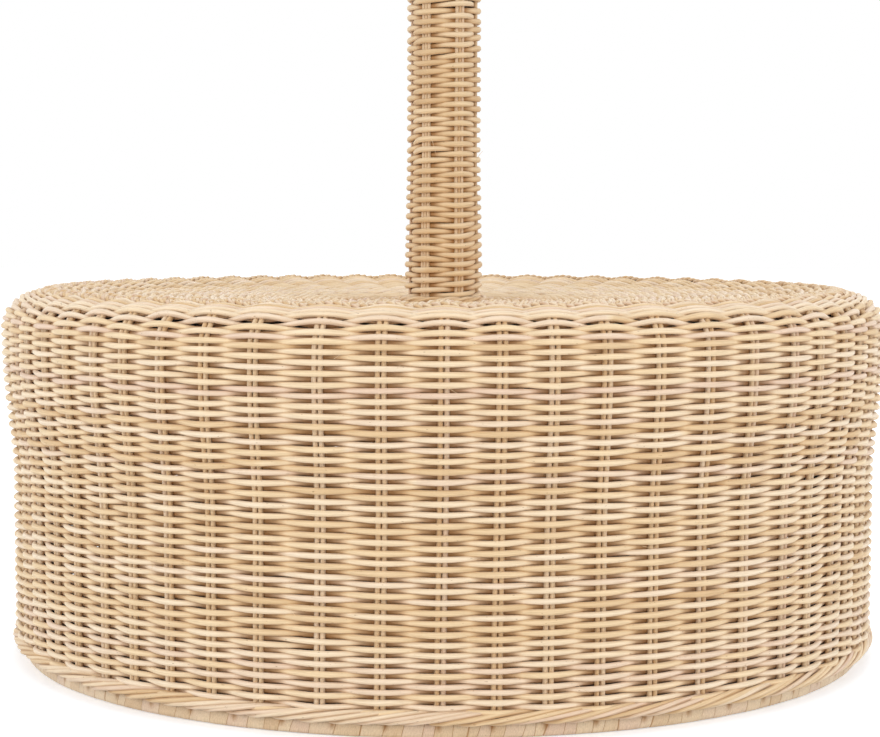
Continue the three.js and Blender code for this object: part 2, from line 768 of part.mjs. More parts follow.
function placeFinial() {
  const foot = shadeSeat + SPIDER_HUB_THICKNESS + 2 * SEAT_GAP;
  // Knob outline above the foot, as shares of its radius and height
  const knobShares = [
    [0.62, 0.16],
    [0.42, 0.26],
    [0.74, 0.42],
    [1, 0.62],
    [0.8, 0.88],
    [0.36, 1],
  ];
  const knob = knobShares.map(([wide, high]) => [
    FINIAL_RADIUS * wide + (FINIAL_BORE_RADIUS * (1 - wide)) / 2,
    foot + FINIAL_HEIGHT * high,
  ]);
  const outline = [
    [0, foot + FINIAL_BORE_DEPTH],
    [FINIAL_BORE_RADIUS, foot + FINIAL_BORE_DEPTH],
    [FINIAL_BORE_RADIUS, foot],
    [FINIAL_FOOT_RADIUS, foot],
    ...knob,
    [0, foot + FINIAL_HEIGHT],
  ];
  place("finial", turned(outline, STEM_SIDES), BRASS);
}

// Lampholder, from its neck upwards

const neckBottom = saddleTop + SEAT_GAP;
const capSlopeBottom = neckBottom + HOLDER_NECK_HEIGHT;
const capSlopeTop = capSlopeBottom + HOLDER_CAP_SLOPE;
const capTop = capSlopeTop + HOLDER_CAP_RIM;
const shellRadius = HOLDER_SHELL_RADIUS - HOLDER_WALL - SEAT_GAP;
const shellInnerRadius = shellRadius - HOLDER_WALL;
const bodyRadius = shellInnerRadius - SEAT_GAP;
const shellBottom = capSlopeTop + SEAT_GAP;
const shellTop = shellBottom + HOLDER_SHELL_HEIGHT;
const bodyTop = shellBottom + HOLDER_BODY_HEIGHT;
const switchHeight = (capTop + bodyTop) / 2;
const linerInnerRadius = bodyRadius - LINER_WALL;
const screwOuterRadius = linerInnerRadius - SEAT_GAP;
const screwInnerRadius = screwOuterRadius - SCREW_SHELL_WALL;
const bulbCapRadius = screwInnerRadius - BULB_THREAD_GAP;
const bulbCapBottom = bodyTop + SEAT_GAP;
const bulbCapTop = bulbCapBottom + BULB_CAP_HEIGHT;

function switchHole(radius) {
  return rod(
    new THREE.Vector3(0, -bodyRadius + SWITCH_SHAFT_DEPTH, switchHeight),
    new THREE.Vector3(0, -HOLDER_SHELL_RADIUS - OVERRUN, switchHeight),
    radius,
    BOLT_SIDES,
  );
}

function placeHolder() {
  const inner = HOLDER_SHELL_RADIUS - HOLDER_WALL;
  const capOutline = [
    [nippleHoleRadius, neckBottom],
    [HOLDER_NECK_RADIUS, neckBottom],
    [HOLDER_NECK_RADIUS, capSlopeBottom],
    [HOLDER_SHELL_RADIUS, capSlopeTop],
    [HOLDER_SHELL_RADIUS, capTop],
    [inner, capTop],
    [inner, capSlopeTop],
    [nippleHoleRadius, capSlopeBottom],
  ];
  place("holder_cap", turnedLoop(capOutline, STEM_SIDES), BRASS);

  const shell = cut(
    ring(shellInnerRadius, shellRadius, shellBottom, shellTop, STEM_SIDES),
    switchHole(SWITCH_SHAFT_RADIUS + 2 * HOLE_GAP),
  );
  place("holder_shell", shell, BRASS);

  const body = cut(
    disc(bodyRadius, shellBottom, bodyTop, STEM_SIDES),
    switchHole(SWITCH_SHAFT_RADIUS + HOLE_GAP),
  );
  place("holder_switch_body", body, PHENOLIC);

  const lining = bodyTop + SEAT_GAP;
  const liner = ring(linerInnerRadius, bodyRadius, lining, shellTop - HOLDER_FEATHER, STEM_SIDES);
  place("holder_liner", liner, PAPER);

  const screwTop = shellTop - 2 * HOLDER_FEATHER;
  const screw = ring(screwInnerRadius, screwOuterRadius, lining, screwTop, STEM_SIDES);
  place("holder_screw_shell", screw, ALUMINIUM);
}

function placeSwitch() {
  const shaftInner = -bodyRadius + SWITCH_SHAFT_DEPTH - SEAT_GAP;
  const shaftOuter = -HOLDER_SHELL_RADIUS - SWITCH_SHAFT_REACH;
  const shaft = rod(
    new THREE.Vector3(0, shaftInner, switchHeight),
    new THREE.Vector3(0, shaftOuter, switchHeight),
    SWITCH_SHAFT_RADIUS,
    BOLT_SIDES,
  );
  place("switch_shaft", shaft, ZINC_STEEL);

  const near = HOLDER_SHELL_RADIUS + SWITCH_KNOB_STANDOFF;
  const far = near + SWITCH_KNOB_LENGTH;
  const boreRadius = SWITCH_SHAFT_RADIUS + HOLE_GAP;
  const boreEnd = -shaftOuter + SEAT_GAP;
  const outline = [
    [0, boreEnd],
    [boreRadius, boreEnd],
    [boreRadius, near],
    [boreRadius + SWITCH_KNOB_WALL, near],
    [SWITCH_KNOB_RADIUS, near + SWITCH_KNOB_WALL],
    [SWITCH_KNOB_RADIUS, far - SWITCH_KNOB_WALL / 2],
    [SWITCH_KNOB_RADIUS - SWITCH_KNOB_WALL / 2, far],
    [0, far],
  ];
  const knob = turned(outline, STEM_SIDES).rotateX(Math.PI / 2);
  place("switch_knob", knob.translate(0, 0, switchHeight), PHENOLIC);
}

function placeBulb() {
  const capOutline = [
    [0, bulbCapBottom],
    [BULB_TIP_RADIUS, bulbCapBottom],
    [bulbCapRadius, bulbCapBottom + BULB_TIP_SLOPE],
    [bulbCapRadius, bulbCapTop],
    [0, bulbCapTop],
  ];
  place("bulb_cap", turned(capOutline, STEM_SIDES), ALUMINIUM);

  const foot = bulbCapTop + SEAT_GAP;
  const wallOf = (wall) =>
    BULB_OUTLINE_SHARES.map(([wide, high]) => [
      BULB_RADIUS * wide - wall,
      foot + (BULB_HEIGHT - wall) * high,
    ]);
  const inside = wallOf(BULB_WALL).reverse();
  const outside = wallOf(0);
  const outline = [
    [0, foot + BULB_HEIGHT - BULB_WALL],
    ...inside,
    ...outside,
    [0, foot + BULB_HEIGHT],
  ];
  place("bulb_glass", turned(outline, STEM_SIDES), OPAL_GLASS);
}

// Shade

const hubMiddle = shadeSeat + SEAT_GAP + SPIDER_HUB_THICKNESS / 2;
const topWireHeight = hubMiddle + SPIDER_DROP;
const shadeWeaveTop = topWireHeight + SHADE_WIRE_INSET;
const shadeTop = shadeWeaveTop + SEAT_GAP + SHADE_BRAID_HEIGHT;
const shadeBottom = shadeTop - SHADE_HEIGHT;
const shadeWeaveBottom = shadeBottom + SHADE_BRAID_HEIGHT + SEAT_GAP;
const bottomWireHeight = shadeWeaveBottom + SHADE_WIRE_INSET;

function shadeRadius(height) {
  const along = (height - shadeBottom) / SHADE_HEIGHT;
  return SHADE_BOTTOM_RADIUS + (SHADE_TOP_RADIUS - SHADE_BOTTOM_RADIUS) * along;
}

function shadeInnerRadius(height) {
  return shadeRadius(height) - WEAVE_THICKNESS;
}

const topWireRadius = shadeInnerRadius(topWireHeight) - SEAT_GAP - wireReach;
const bottomWireRadius = shadeInnerRadius(bottomWireHeight) - SEAT_GAP - wireReach;

// Both faces of the shade's wall, each moved into it by relief
function shadeFaces(relief) {
  return [
    [shadeInnerRadius(shadeWeaveBottom) + relief, shadeWeaveBottom],
    [shadeRadius(shadeWeaveBottom) - relief, shadeWeaveBottom],
    [shadeRadius(shadeWeaveTop) - relief, shadeWeaveTop],
    [shadeInnerRadius(shadeWeaveTop) + relief, shadeWeaveTop],
  ];
}

function placeShadeSkin() {
  const weave = wovenLoop(shadeFaces(0), shadeFaces(weaveRelief), SHADE_STAKES);
  place("shade_weave", weave, RATTAN);

  const bottoms = { shade_top_braid: shadeTop - SHADE_BRAID_HEIGHT, shade_bottom_braid: shadeBottom };
  Object.entries(bottoms).forEach(([name, bottom]) => {
    const outer = shadeRadius(bottom + SHADE_BRAID_HEIGHT / 2);
    const braid = softRing(
      outer - WEAVE_THICKNESS - SHADE_BRAID_PROUD,
      outer + SHADE_BRAID_PROUD,
      bottom,
      bottom + SHADE_BRAID_HEIGHT,
    );
    place(name, braid, RATTAN);
  });
}

function placeShadeFrame() {
  place("shade_top_wire", hoop(topWireRadius, topWireHeight, SHADE_WIRE_RADIUS), FRAME_STEEL);
  place(
    "shade_bottom_wire",
    hoop(bottomWireRadius, bottomWireHeight, SHADE_WIRE_RADIUS),
    FRAME_STEEL,
  );

  const ribFoot = bottomWireHeight + SHADE_WIRE_RADIUS + SEAT_GAP;
  const ribHead = topWireHeight - SHADE_WIRE_RADIUS - SEAT_GAP;
  const ribRadius = (height) =>
    shadeInnerRadius(height) * flatShare - SEAT_GAP - SHADE_RIB_RADIUS;
  turnsOf(SHADE_RIB_COUNT, Math.PI / SHADE_RIB_COUNT).forEach((angle, i) => {
    const rib = rod(
      polar(ribRadius(ribFoot), angle, ribFoot),
      polar(ribRadius(ribHead), angle, ribHead),
      SHADE_RIB_RADIUS,
    );
    place(`shade_rib_${i + 1}`, rib, FRAME_STEEL);
  });
}

function placeSpider() {
  const hub = ring(
    HARP_STUD_RADIUS + HOLE_GAP,
    SPIDER_HUB_RADIUS,
    hubMiddle - SPIDER_HUB_THICKNESS / 2,
    hubMiddle + SPIDER_HUB_THICKNESS / 2,
    STEM_SIDES,
  );
  const reach = (topWireRadius - wireReach) * flatShare - SEAT_GAP;
  const arms = turnsOf(SPIDER_ARM_COUNT, Math.PI / 2).map((angle) =>
    rod(
      polar(SPIDER_ARM_START, angle, hubMiddle),
      polar(reach, angle, topWireHeight),
      SPIDER_ARM_RADIUS,
    ),
  );
  place("shade_spider", join(hub, ...arms), FRAME_STEEL);
}

placeFoot();
placeSide();
placeTop();
placeFrame();
placeWeight();
placeUnderside();
placeGrommet();
placeStemMount();
placeStemWeave();
placeStemEnd();
placeSaddle();
placeHarp();
placeFerrules();
placeFinial();
placeHolder();
placeSwitch();
placeBulb();
placeShadeSkin();
placeShadeFrame();
placeSpider();

export default lamp;
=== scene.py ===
"""The looks of a rattan floor lamp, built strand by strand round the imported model.

Metres, +Z up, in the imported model's own frame: the floor is z = 0, the lamp's axis is the Z axis
and its front faces -Y.
"""

import json
import math

import bmesh
import bpy
import numpy as np
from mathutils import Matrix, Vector


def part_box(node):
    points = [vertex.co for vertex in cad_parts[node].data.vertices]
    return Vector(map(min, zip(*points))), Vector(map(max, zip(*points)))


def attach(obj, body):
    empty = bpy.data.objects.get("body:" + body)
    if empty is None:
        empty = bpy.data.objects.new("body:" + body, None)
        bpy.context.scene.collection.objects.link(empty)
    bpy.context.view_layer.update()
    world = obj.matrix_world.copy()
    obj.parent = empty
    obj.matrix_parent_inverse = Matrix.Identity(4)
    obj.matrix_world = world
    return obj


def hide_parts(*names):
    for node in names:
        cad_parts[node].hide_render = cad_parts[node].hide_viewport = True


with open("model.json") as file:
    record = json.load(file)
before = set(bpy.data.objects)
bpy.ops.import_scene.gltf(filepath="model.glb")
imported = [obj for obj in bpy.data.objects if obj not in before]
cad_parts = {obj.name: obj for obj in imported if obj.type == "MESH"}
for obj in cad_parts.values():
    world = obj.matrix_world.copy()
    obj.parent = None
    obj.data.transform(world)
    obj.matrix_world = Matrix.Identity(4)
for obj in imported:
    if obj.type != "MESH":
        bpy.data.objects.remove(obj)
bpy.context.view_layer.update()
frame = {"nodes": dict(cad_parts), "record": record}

nodes = frame["nodes"]
rng = np.random.default_rng(59)

MM = 0.001
TURN = 2 * math.pi
FRONT = -math.pi / 2

# Round rattan core, as weaver and as stake
WEAVER_RADIUS = 1.5 * MM
STAKE_RADIUS = 1.3 * MM
STAKE_PAIR = (-1.42 * MM, 1.42 * MM)
# Strength of the painted shade on the stakes, which lie behind the weavers
STAKE_GLOOM = 0.22
WEAVE_REACH = 2.4 * MM
ROW_PITCH = 2.4 * MM

# Base
BASE_STAKES = 59
SIDE_RADIUS = 232 * MM
BASE_FLARE = 5.5 * MM
SHOULDER_RADIUS = 18.5 * MM
FLARE_START_SHARE = 0.48
FLARE_END_SHARE = 0.94
SIDE_LENGTH = 167 * MM
SIDE_TUCK = 5 * MM
SIDE_FOOT = 0.3 * MM
CREST_ROWS = 3
CREST_PITCH = 3.1 * MM
CREST_REACH = 2.6 * MM
SHOULDER_PITCH = 1.7 * MM
SHOULDER_REACH = 1.5 * MM
SHOULDER_REACHES = (1.8 * MM, 0.7 * MM)
SHOULDER_WEAVER_RADIUS = 1.2 * MM
SHOULDER_WEAVER_RADII = (1.35 * MM, SHOULDER_WEAVER_RADIUS)
# Strength of the painted shade on the shoulder's weavers
SHOULDER_GLOOM = 0.7
CREST_BUMP = 0.65 * MM
TOP_PITCH = 2.4 * MM
TOP_REACH = 1 * MM
TOP_FIRST_REACH = 2.2 * MM
# Strength of the painted shade on the top's weavers
TOP_GLOOM = 0.4
TOP_WEAVER_RADIUS = 1.3 * MM
TOP_DISH = 6 * MM
RIM_RADIUS = 208 * MM
RIM_RISE = 2.4 * MM
RIM_OUTER_WIDTH = 14 * MM
RIM_INNER_WIDTH = 30 * MM
PLAIT_RADIUS = 212 * MM
PLAIT_HALF_WIDTH = 4.6 * MM
INLET_RADIUS = 4.4 * MM
FRONT_SHIFTS = [-1.0, -1.2, -1.6, -1.9, -2.6, -2.9, -3.1, -3.2, -1.7, -0.8]
FRONT_SHIFTS += [-0.4, -0.3, -0.3, -0.5, 0, 0.5, 1.0, 1.7, 1.6, 1.5, 1.0]
INNER_TOP_STAKES = 29
INNER_TOP_RADIUS = 98 * MM
INNER_STAKE_RADIUS = 0.95 * MM
INNER_STAKE_PAIR = (-1 * MM, 1 * MM)
TOP_ROPE_DEPTH = 1.6 * MM

# Border at the foot: how far a strand runs while it crosses the border's face, where two strands
# leave each stake, and how a strand turns and advances from its start to its end
BORDER_RUN = 44 * MM
BORDER_STRAND_RADIUS = 1.25 * MM
BORDER_DROP = 1.3 * MM
BORDER_HALF_HEIGHT = 3.8 * MM
BORDER_INSET = 0.5 * MM
BORDER_PAIR_SHARES = (-0.21, 0.21)
BORDER_STOP_SHARES = [0, 0.3, 1]
BORDER_TURNS = np.radians([-125, -35, 130])
BORDER_ADVANCE_SHARES = [0, 0.22, 1.25]

# Cane strip round the foot ring: between two turns lies a notch, in millimetres, most of them narrow
STRIP_WIDTHS = (4 * MM, 12 * MM)
STRIP_THICKNESS = 0.4 * MM
STRIP_GIRTH_STEP = 2.2 * MM
WIDE_NOTCH, NARROW_NOTCH = 0.7, 0.16
NOTCH_SHARE = 0.16
WRAP_HALF_WIDTH = 5.5 * MM
WRAP_CENTRE_INSET = 4.3 * MM
WRAP_EDGE = 0.3 * MM
WRAP_SIDES = 20
WRAP_FACE_RINGS = 9
# Heights on the wrap over which the painted shadow under the border's strands fades in
UNDER_BORDER = (3.4 * MM, 5.6 * MM)

# Stem
STEM_RADIUS = 19.6 * MM
STEM_GROUPS = 6
STEM_GROUP_SPREAD = 2.05 * MM
STEM_STRAND_RADIUS = 1 * MM
STEM_WEAVER_RADIUS = 1.65 * MM
STEM_WEAVER_DEPTH = 1.35 * MM
STEM_REACH = 1.75 * MM
STEM_PROUD = 0.6 * MM
STEM_ROW_PITCH = 2.67 * MM
STEM_FIRST_GROUP = math.radians(-124)
STEM_SHIFTS = (0, 0, 4)
STEM_FINE_ROWS = 90
# Strength of the painted shade in the stem's weave
STEM_GLOOM = 1.15
STEM_FLARE_LOW = 18 * MM
STEM_FLARE_HIGH = 75 * MM
STEM_START_DROP = 2 * MM
COLLAR_OFFSET = 0.9 * MM
COLLAR_RISE = 0.6 * MM
STEM_TOP_ROPE_INSET = 1.9 * MM
STEM_TOP_ROPE_DROP = 2.2 * MM
BINDING_PLAIT_INSET = 2 * MM
BINDING_ROPE_INSET = 4.4 * MM

# Shade
SHADE_STAKES = 61
SHADE_PITCH = 2.4 * MM
SHADE_WEAVER_RADIUS = 1.6 * MM
SHADE_END = 0.6 * MM
SHADE_UNDERLAP = 2 * MM
SHADE_TAPER = 30 * MM
SHADE_TAPER_HEIGHT = 300 * MM
SHADE_BRAID_INSET = 4.25 * MM

# Plaits of three doubled strands: half the width and depth of their path, its period, strand radius
PLAIT_HEIGHT = 1.1 * MM
PLAIT_STRAND_RADIUS = 1 * MM
PLAIT_SUNK = 0.3 * MM
TOP_PLAIT = (PLAIT_HALF_WIDTH - 1.3 * MM, PLAIT_HEIGHT, 12 * MM, PLAIT_STRAND_RADIUS)
BINDING_PLAIT = (1.5 * MM, 0.7 * MM, 9 * MM, 0.62 * MM)
SHADE_PLAIT = (3.1 * MM, 1.7 * MM, 18 * MM, 1.3 * MM)

# Ropes: each strand's way off the middle line, the period of its turns, its radius, and the strands
TOP_ROPE = (0.8 * MM, 22 * MM, 1 * MM, 2)
COLLAR_ROPE = (0.95 * MM, 26 * MM, 1.1 * MM, 3)
STEM_TOP_ROPE = (0.9 * MM, 20 * MM, 1.35 * MM, 2)
BINDING_ROPE = (1.2 * MM, 14 * MM, 1.3 * MM, 2)

# Loose fibres that stand off the strands
FIBRE_COUNT = 60
STEM_FIBRE_COUNT = 24
FIBRE_RADIUS = 0.13 * MM
FIBRE_SINK = 0.4 * MM


def around(r, angle, z):
    return np.stack([r * np.cos(angle), r * np.sin(angle), z], -1)


def ease(x, low, high):
    """0 below low, 1 above high, and smooth between."""
    share = np.clip((x - low) / (high - low), 0, 1)
    return share * share * (3 - 2 * share)


def wander(cells_round, cells_up):
    """A function that gives smooth random values, -1 to 1, for turns (once round) and share (0 to 1 up)."""
    grid = rng.uniform(-1, 1, (cells_up + 2, cells_round))

    def value(turns, share):
        x = (np.asarray(turns) % 1) * cells_round
        y = np.clip(share, 0, 1) * cells_up
        i = np.floor(x).astype(int) % cells_round
        j = np.floor(y).astype(int)
        fx = ease(x - np.floor(x), 0, 1)
        fy = ease(y - np.floor(y), 0, 1)
        k = (i + 1) % cells_round
        low = grid[j, i] * (1 - fx) + grid[j, k] * fx
        high = grid[j + 1, i] * (1 - fx) + grid[j + 1, k] * fx
        return low * (1 - fy) + high * fy

    return value


def strand_tones(lengths_along, shortest, longest):
    """A tone, 0 to 1, for each place along a run that is made of strands of random length."""
    end = lengths_along[-1]
    joints = np.cumsum(rng.uniform(shortest, longest, int(end / shortest) + 2))
    tones = rng.beta(1.6, 1.6, len(joints) + 1)
    return tones[np.searchsorted(joints, lengths_along)]


# Surfaces of revolution that strands are woven on


class Profile:
    """The line that a woven surface follows, from points (radius, height), with arc length t along it."""

    def __init__(self, points):
        self.r, self.z = np.array(points, float).T
        step = np.hypot(np.diff(self.r), np.diff(self.z))
        self.t = np.concatenate([[0], np.cumsum(step)])
        slope_r = np.gradient(self.r, self.t)
        slope_z = np.gradient(self.z, self.t)
        size = np.hypot(slope_r, slope_z)
        self.out_r, self.out_z = slope_z / size, -slope_r / size
        self.length = self.t[-1]

    def radius(self, t):
        return np.interp(t, self.t, self.r)

    def where(self, radius):
        """Arc length at which the inward going part, beyond the widest place, has this radius."""
        widest = len(self.r) - 1 - np.argmax(self.r[::-1])
        return np.interp(-radius, -self.r[widest:], self.t[widest:])

    def place(self, t, angle, lift):
        """Points at t and angle, lifted off the surface, and the directions that point off it."""
        out_r = np.interp(t, self.t, self.out_r)
        out_z = np.interp(t, self.t, self.out_z)
        r = np.interp(t, self.t, self.r) + out_r * lift
        z = np.interp(t, self.t, self.z) + out_z * lift
        return around(r, angle, z), around(out_r, angle, out_z)


def dense(points, step):
    """The same line with points no further apart than step."""
    points = np.array(points, float)
    made = [points[:1]]
    for a, b in zip(points[:-1], points[1:]):
        n = max(1, math.ceil(np.linalg.norm(b - a) / step))
        made.append(a + (b - a) * (np.arange(1, n + 1) / n)[:, None])
    return np.concatenate(made)


# Strands as meshes


def unit(v):
    return v / np.maximum(np.linalg.norm(v, axis=-1, keepdims=True), 1e-12)


def directions(path, closed):
    return unit(np.roll(path, -1, 0) - np.roll(path, 1, 0) if closed else np.gradient(path, axis=0))


def fill(items, key, values, kind=np.float32):
    items.foreach_set(key, np.concatenate(values).astype(kind).ravel())


class Strands:
    """Round strands gathered into one piece, with what its material reads at each corner."""

    def __init__(self, sides):
        self.sides = sides
        self.corners, self.tone, self.grain, self.painted_shade = [], [], [], []
        self.quads, self.caps = [], []
        self.count = 0

    def add(self, path, ups, across, through=None, tone=0.5, painted_shade=0.0, edge=0.0, closed=False):
        """A strand along path: across is half its width and through half its depth, along ups. Painted shade
        darkens it by the amount after tone, and edge adds more on the sides that face the next strands."""
        n, m = len(path), self.sides
        through = across if through is None else through
        values = (across, through, tone, painted_shade, edge)
        across, through, tone, painted_shade, edge = (np.broadcast_to(v, n)[:, None] for v in values)
        along = directions(path, closed)
        ups = unit(ups - along * (along * ups).sum(-1, keepdims=True))
        side = np.cross(along, ups)
        turn = TURN * (np.arange(m) + 0.5) / m
        y, z = np.cos(turn), np.sin(turn)
        ring = path[:, None] + (through * y)[..., None] * ups[:, None]
        ring = ring + (across * z)[..., None] * side[:, None]
        steps = np.linalg.norm(np.diff(path, axis=0), axis=-1)
        run = np.concatenate([[0], np.cumsum(steps)]) + rng.uniform(0, 50)
        grain = np.stack([run[:, None] + 0 * z, across * y, across * z], -1)
        # Painted shade, stronger on the sides that face the next strands
        painted_shade = np.clip(painted_shade + edge * np.abs(z) ** 3, 0, 1)
        self.add_rings(ring, tone + 0 * z, painted_shade, grain, closed)

    def add_rings(self, ring, tone, painted_shade, grain, closed):
        """A tube from its rings of corners (rings, sides, 3)."""
        n, m, _ = ring.shape
        i = np.arange(n if closed else n - 1)[:, None]
        j = np.arange(m)
        near = self.count + i * m + j
        far = self.count + (i + 1) % n * m + j
        quads = np.stack([near, np.roll(near, -1, 1), np.roll(far, -1, 1), far], -1)
        self.quads.append(quads.reshape(-1, 4))
        if not closed:
            self.caps.append(self.count + np.array([j[::-1], (n - 1) * m + j]))
        self.corners.append(ring.reshape(-1, 3))
        self.grain.append(grain.reshape(-1, 3))
        self.tone.append(tone.ravel())
        self.painted_shade.append(painted_shade.ravel())
        self.count += n * m

    def bake_places(self, quad_count):
        """Places for a bake: segments side by side in rows, each a stack of its sides."""
        m = self.sides
        total = quad_count // m
        wide = max(1, int(math.sqrt(total * m * 0.4)))
        rows = math.ceil(total / wide)
        row, column = np.divmod(np.arange(total)[:, None], wide)
        j = np.arange(m)
        low = (row + 0.05 + 0.9 * j / m) / rows
        high = (row + 0.05 + 0.9 * (j + 1) / m) / rows
        left = column / wide + 0 * low
        right = left + 1 / wide
        quads = np.stack([left, low, left, high, right, high, right, low], -1)
        return quads.reshape(-1, 2)

    def build(self, name, material, opening=None):
        """The piece, without the faces of which opening, a test of corners, says that they lie in a hole."""
        corners = np.concatenate(self.corners)
        quads = np.concatenate(self.quads)
        places = self.bake_places(len(quads)).reshape(-1, 8)
        if opening is not None:
            kept = ~opening(corners)[quads].any(1)
            quads, places = quads[kept], places[kept]
        caps = np.concatenate(self.caps) if self.caps else np.zeros((0, self.sides), int)
        mesh = bpy.data.meshes.new(name)
        mesh.vertices.add(len(corners))
        fill(mesh.vertices, "co", self.corners)
        mesh.loops.add(quads.size + caps.size)
        fill(mesh.loops, "vertex_index", [quads.ravel(), caps.ravel()], np.int32)
        sizes = np.repeat([4, self.sides], [len(quads), len(caps)])
        mesh.polygons.add(len(sizes))
        fill(mesh.polygons, "loop_start", [[0], np.cumsum(sizes)[:-1]], np.int32)
        fill(mesh.polygons, "loop_total", [sizes], np.int32)
        fill(mesh.polygons, "use_smooth", [np.repeat([True, False], [len(quads), len(caps)])], bool)
        mesh.update(calc_edges=True)
        for kind, values in (("tone", self.tone), ("painted_shade", self.painted_shade)):
            fill(mesh.attributes.new(kind, "FLOAT", "POINT").data, "value", values)
        fill(mesh.attributes.new("grain", "FLOAT_VECTOR", "POINT").data, "vector", self.grain)
        fill(mesh.uv_layers.new(name="OFBake").data, "uv", [places.ravel(), np.full(2 * caps.size, 0.001)])
        mesh.materials.append(material)
        return add_object(name, mesh)


def add_object(name, data):
    made = bpy.data.objects.new(name, data)
    bpy.context.scene.collection.objects.link(made)
    return made


def finish_piece(piece, body, slot, *replaced):
    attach(piece, body)
    if replaced:
        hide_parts(*replaced)


# Materials


def plug(made, sockets):
    """Joins each named input of a node to another node's output, or sets its value."""
    for key, value in sockets.items():
        if isinstance(value, bpy.types.NodeSocket):
            made.id_data.links.new(value, made.inputs[key])
        else:
            made.inputs[key].default_value = value


def make_node(tree, kind, sockets, **settings):
    made = tree.nodes.new("ShaderNode" + kind)
    for key, value in settings.items():
        setattr(made, key, value)
    plug(made, sockets)
    return made


def srgb(red, green, blue):
    """A colour as it shows, 0 to 255, in linear light."""
    shares = [c / 255 for c in (red, green, blue)]
    linear = [c / 12.92 if c <= 0.04045 else ((c + 0.055) / 1.055) ** 2.4 for c in shares]
    return (*linear, 1.0)


def new_material(name):
    material = bpy.data.materials.new(name)
    material.use_nodes = True
    return material, material.node_tree, material.node_tree.nodes["Principled BSDF"]


def ramp(tree, factor, stops):
    made = make_node(tree, "ValToRGB", {"Fac": factor})
    elements = made.color_ramp.elements
    while len(elements) < len(stops):
        elements.new(0.5)
    for element, (at, colour) in zip(elements, stops):
        element.position = at
        element.color = colour
    return made.outputs["Color"]


def maths(tree, operation, a, b, c=0.0, clamp=False):
    return make_node(tree, "Math", {0: a, 1: b, 2: c}, operation=operation, use_clamp=clamp).outputs[0]


def blended(tree, factor, a, b, how="MIX"):
    sockets = {"Factor": factor, 6: a, 7: b}
    return make_node(tree, "Mix", sockets, data_type="RGBA", blend_type=how).outputs[2]


def noise(tree, vector, scale, detail, rough=0.5):
    sockets = {"Vector": vector, "Scale": scale, "Detail": detail, "Roughness": rough}
    return make_node(tree, "TexNoise", sockets).outputs["Fac"]


def stretched(tree, vector, scale):
    return make_node(tree, "Mapping", {"Vector": vector, "Scale": scale}).outputs["Vector"]


def relieved(tree, shader, base, value, ends, height, distance, span=(0, 1)):
    """Joins a colour, a roughness that follows value between two ends, and a bump to the shader."""
    ranges = zip(("From Min", "From Max", "To Min", "To Max"), (*span, *ends))
    rough = make_node(tree, "MapRange", {"Value": value, **dict(ranges)}).outputs["Result"]
    bump = make_node(tree, "Bump", {"Height": height, "Strength": 0.5, "Distance": distance})
    plug(shader, {"Base Color": base, "Roughness": rough, "Normal": bump.outputs["Normal"]})


# Colour of the painted shade in the weave's hollows, then of the rattan's own dark specks
CREVICE_SHADE = srgb(170, 119, 64)
SPECK = srgb(150, 112, 72)


def rattan_material(name, stops, roughness, fibre_bump):
    """Bare rattan: a tone for each strand, long fibres, a few specks, and a painted shade in the hollows."""
    material, tree, shader = new_material(name)
    read = [make_node(tree, "Attribute", {}, attribute_name=n) for n in ("grain", "tone", "painted_shade")]
    grain = read[0].outputs["Vector"]
    tone, painted_shade = (made.outputs["Fac"] for made in read[1:])
    mottle = noise(tree, stretched(tree, grain, (14, 160, 160)), 1.0, 3.0)
    shifted = maths(tree, "MULTIPLY_ADD", mottle, 0.5, -0.25)
    stops = [(at, srgb(*colour)) for at, *colour in stops]
    base = ramp(tree, maths(tree, "ADD", tone, shifted, clamp=True), stops)
    fibres = noise(tree, stretched(tree, grain, (70, 2400, 2400)), 1.0, 3.0, 0.6)
    streaks = ramp(tree, fibres, [(0.3, (0.84, 0.8, 0.74, 1)), (0.62, (1.04, 1.04, 1.04, 1))])
    base = blended(tree, 1.0, base, streaks, "MULTIPLY")
    specks = noise(tree, stretched(tree, grain, (420, 1500, 1500)), 1.0, 1.0)
    speck_share = ramp(tree, specks, [(0.73, (0, 0, 0, 1)), (0.79, (0.7, 0.7, 0.7, 1))])
    base = blended(tree, speck_share, base, SPECK)
    # Painted shade: each strand darkens towards the shade colour where it lies in a hollow
    base = blended(tree, painted_shade, base, CREVICE_SHADE)
    relieved(tree, shader, base, fibres, (roughness + 0.1, roughness - 0.08), fibres, fibre_bump)
    plug(shader, {"Specular IOR Level": 0.35, "Sheen Weight": 0.12, "Sheen Roughness": 0.5})
    return material


# Tones from pinkish over cream and straw to honey, and those of the strip: place, red, green, blue
RATTAN_STOPS = [(0, 233, 204, 178), (0.3, 245, 224, 194), (0.62, 240, 213, 172), (1, 223, 189, 143)]
# The stem's stops are the base's a little darker: a painted shade for the dimmer light on the stem
STEM_STOPS = [(0, 222, 190, 166), (0.3, 234, 210, 178), (0.62, 229, 200, 158), (1, 212, 176, 131)]
CANE_STOPS = [(0, 232, 203, 176), (0.5, 238, 214, 180), (1, 222, 190, 150)]
rattan = rattan_material("rattan_core", RATTAN_STOPS, 0.62, 0.12 * MM)
shaded_stem_rattan = rattan_material("rattan_core_stem_shaded", STEM_STOPS, 0.62, 0.12 * MM)
cane = rattan_material("cane_strip", CANE_STOPS, 0.5, 0.08 * MM)


def finish_strands(strands, name, node, material=rattan, slot="rattan", body="lamp", opening=None):
    """Makes one piece of the strands, in place of the node."""
    finish_piece(strands.build(name, material, opening), body, slot, node)


# Weaving


